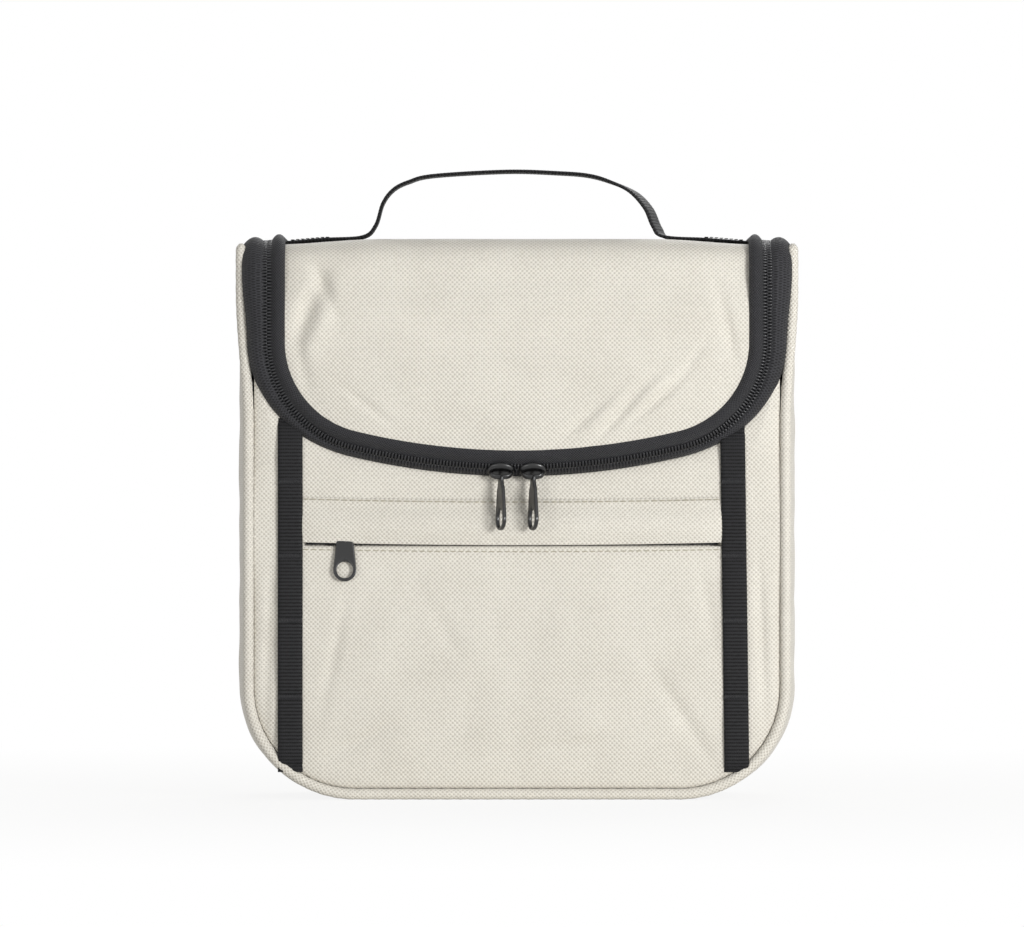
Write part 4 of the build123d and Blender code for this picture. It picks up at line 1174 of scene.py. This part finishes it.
# %% Main sliders with their bridges
slider_spacing = 12.7
bar_height = 5.6
bridge_reach = 4.1
bridge_foot = 2.6
bridge_rise = 3.1
main_tilt = np.radians(low_tilt)
main_depth = chain_depth_at(main_tilt)
bars = {}
for side, sign in (("left", -1), ("right", 1)):
    turn = sign * np.arcsin(slider_spacing / 2 / low_radius)
    outward = np.array([np.sin(turn), 0, -np.cos(turn)])
    across = outward * np.cos(main_tilt) + np.array([0, np.sin(main_tilt), 0])
    upward = outward * np.sin(main_tilt) - np.array([0, np.cos(main_tilt), 0])
    along = np.cross(across, upward)
    centre = np.array([low_radius * np.sin(turn), lid_front + main_depth, arc_z - low_radius * np.cos(turn)])
    bars[side] = centre + upward * bar_height
    plate = domed_plate(
        f"{side}_slider_casting", centre, along, across, upward,
        half_long=5.6, half_wide=4.2, low=1.65, high=2.7, crown=0.35,
    )
    finish_piece(plate, f"{side}_slider", black_lacquer, (f"{side}_slider",))
    plate = domed_plate(
        f"{side}_slider_back", centre, along, across, -upward,
        half_long=5.4, half_wide=4.0, low=0.65, high=1.4, crown=0.1,
    )
    finish_piece(plate, f"{side}_slider", black_lacquer)
    arch = np.linspace(0, np.pi, 40)
    lifted = bridge_foot + bridge_rise * np.sin(arch) ** 0.6
    path = centre + np.cos(arch)[:, None] * bridge_reach * along + lifted[:, None] * upward
    heading = np.gradient(path, axis=0)
    heading /= np.linalg.norm(heading, axis=1)[:, None]
    ring = np.linspace(0, 2 * np.pi, 13)[:-1] + np.pi / 12
    out_of_path = np.cross(heading, across)
    bridge_a = 1.15 * np.cos(ring)
    bridge_b = 0.7 * np.sin(ring)
    bridge = carry(f"{side}_slider_bridge", path, across, out_of_path, bridge_a, bridge_b)
    finish_piece(bridge, f"{side}_slider", black_lacquer)

# %% [markdown]
# Pull tabs
# Pulls hang by their own weight. The two main ones are seen almost edge on, and the pocket's lies
# flat on the cloth. Three flat plates with a Bevel would do from the front, but their rounded
# edges catch the light, so all three use the tab's own formula with different sizes.

# %% Pull tabs
lean, yaw = np.radians(8.0), np.radians(21.0)
up = np.array([0, np.sin(lean), np.cos(lean)])
face = np.array([1.0, 0, 0]) * np.cos(yaw) + np.cross(up, [1.0, 0, 0]) * np.sin(yaw)
for side in ("left", "right"):
    tab = pull_tab(
        f"{side}_pull_tab", bars[side], np.cross(up, face), -up, face, length=21.5, head_width=3.4,
        neck_width=6.2, ring=9.3, hole_wide=6.0, hole_tall=7.4, thick=1.5,
    )
    finish_piece(tab, f"{side}_pull", black_lacquer, (f"{side}_pull",))
pocket_eye = np.array([-68.9, -35.87, 109.0])
pocket_face = np.array([0, -np.cos(lean), np.sin(lean)])
tab = pull_tab(
    "pocket_pull_tab", pocket_eye, np.array(to_right), -up, pocket_face, length=21.6, head_width=4.0,
    neck_width=6.8, ring=9.3, hole_wide=6.5, hole_tall=6.7, thick=1.1,
)
finish_piece(tab, "pocket_pull", black_lacquer, ("pocket_pull",))

# %% [markdown]
# Solids that stay as they are
# The pocket's slider and the zips' end stops are rigid, small and almost hidden. New meshes could
# replace them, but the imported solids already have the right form, so they only get their lacquer.

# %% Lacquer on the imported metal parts
for name in ("pocket_slider", "main_zip_stops", "pocket_zip_stops"):
    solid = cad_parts[name]
    solid.data.materials.clear()
    solid.data.materials.append(black_lacquer)
    print(name, "finished in", black_lacquer.name)

# %% [markdown]
# Floor and white ground
# The bag stands on a pale floor before a white ground. More light would whiten the ground too, but
# it would bleach the cloth. So floor and world are white only to rays from the camera, in
# reflections and through glass, and near the bag the floor still takes its shadow.

# %% Rays that see the white ground
def seen_rays(tree):
    """Socket that is 1 for rays from the camera, in reflections and through glass, 0 for all others."""
    most = {"operation": "MAXIMUM"}
    rays = node(tree, "ShaderNodeLightPath").outputs
    direct = node(tree, "ShaderNodeMath", most, i0=rays["Is Camera Ray"], i1=rays["Is Glossy Ray"])
    every = node(tree, "ShaderNodeMath", most, i0=direct.outputs[0], i1=rays["Is Transmission Ray"])
    return every.outputs[0]


print("lines of sight that meet white: camera, glossy and transmission")

# %% Pale floor
floor_mesh = bpy.data.meshes.new("floor")
floor_mesh.from_pydata([(-4, -4, 0), (4, -4, 0), (4, 4, 0), (-4, 4, 0)], [], [(0, 1, 2, 3)])
floor = bpy.data.objects.new("floor", floor_mesh)
bpy.context.scene.collection.objects.link(floor)
floor_paint = bpy.data.materials.new("painted_floor")
floor_paint.use_nodes = True
tree = floor_paint.node_tree
tree.nodes.clear()
# Share of white under the bag, and the distances from its middle, in metres, between which the
# floor becomes wholly white
white_near = 0.88
fade_start = 0.1
fade_end = 0.6
spot = node(tree, "ShaderNodeTexCoord")
reach = node(tree, "ShaderNodeVectorMath", {"operation": "LENGTH"}, i0=spot.outputs["Object"])
fade = node(tree, "ShaderNodeMapRange", {}, Value=reach.outputs["Value"])
fade.inputs["From Min"].default_value = fade_start
fade.inputs["From Max"].default_value = fade_end
fade.inputs["To Min"].default_value = white_near
share = node(tree, "ShaderNodeMath", {"operation": "MULTIPLY"}, i0=seen_rays(tree), i1=fade.outputs[0])
matt = node(tree, "ShaderNodeBsdfDiffuse", {}, Color=srgb("#F2F1EE"))
white = node(tree, "ShaderNodeEmission", {}, Color=(1, 1, 1, 1), Strength=1.0)
both = node(tree, "ShaderNodeMixShader", {}, i0=share.outputs[0], i1=matt.outputs[0], i2=white.outputs[0])
node(tree, "ShaderNodeOutputMaterial", {}, Surface=both.outputs[0])
floor_mesh.materials.append(floor_paint)
print("floor painted with", floor_paint.name)

# %% White ground
world = bpy.data.worlds.new("studio")
bpy.context.scene.world = world
world.use_nodes = True
tree = world.node_tree
tree.nodes.clear()
dim = node(tree, "ShaderNodeBackground", {}, Color=(1, 1, 1, 1), Strength=0.38)
white = node(tree, "ShaderNodeBackground", {}, Color=(1, 1, 1, 1), Strength=1.0)
both = node(tree, "ShaderNodeMixShader", {}, i0=seen_rays(tree), i1=dim.outputs[0], i2=white.outputs[0])
node(tree, "ShaderNodeOutputWorld", {}, Surface=both.outputs[0])
print("world", world.name)


# %% [markdown]
# Light
# Product photographs are lit by large soft boxes. A sun or a small point lamp would cast hard
# shadows, so square area lamps are used: a key from the right that shows the creases, a weaker
# fill from the left, and one from behind and above that lights the top.

# %% Soft lamps
def soft_lamp(name, place, aim, size, power):
    """Square area lamp at a place, pointed at another."""
    lamp = bpy.data.lights.new(name, "AREA")
    lamp.size = size
    lamp.energy = power
    holder = bpy.data.objects.new(name, lamp)
    bpy.context.scene.collection.objects.link(holder)
    from_lamp = np.array(aim) - np.array(place)
    flat_run = np.hypot(from_lamp[0], from_lamp[1])
    holder.location = place
    holder.rotation_euler = (np.arctan2(flat_run, -from_lamp[2]), 0, np.arctan2(-from_lamp[0], from_lamp[1]))
    print(name, power, "W")


soft_lamp("key_lamp", (1.15, -1.6, 0.3), aim=(0, 0, 0.12), size=0.5, power=27)
soft_lamp("fill_lamp", (-1.2, -1.9, 0.12), aim=(0, 0, 0.12), size=0.8, power=9)
soft_lamp("back_lamp", (0.2, 1.5, 1.2), aim=(0, 0, 0.15), size=0.9, power=12)

# %% [markdown]
# Camera
# The photograph looks straight at the front from far away, so its sides hardly spread. An
# orthographic camera would show no spread at all. A long lens shows the little that there is, and
# its length follows from the distance and from the width that the picture covers.

# %% Camera at the photograph's height and distance
picture_width = 0.4096
front_to_camera = 3.2
camera = bpy.data.cameras.new("camera")
camera.sensor_width = 36.0
camera.lens = camera.sensor_width * front_to_camera / picture_width
camera.clip_end = 20
viewer = bpy.data.objects.new("camera", camera)
# The bag's front face stands about 40 mm before the origin, which the distance leaves out
viewer.location = (-0.002, -3.24, 0.1348)
viewer.rotation_euler = (np.pi / 2, 0, 0)
bpy.context.scene.collection.objects.link(viewer)
bpy.context.scene.camera = viewer
bpy.context.scene.view_settings.view_transform = "Standard"
print("lens", round(camera.lens, 1), "mm")
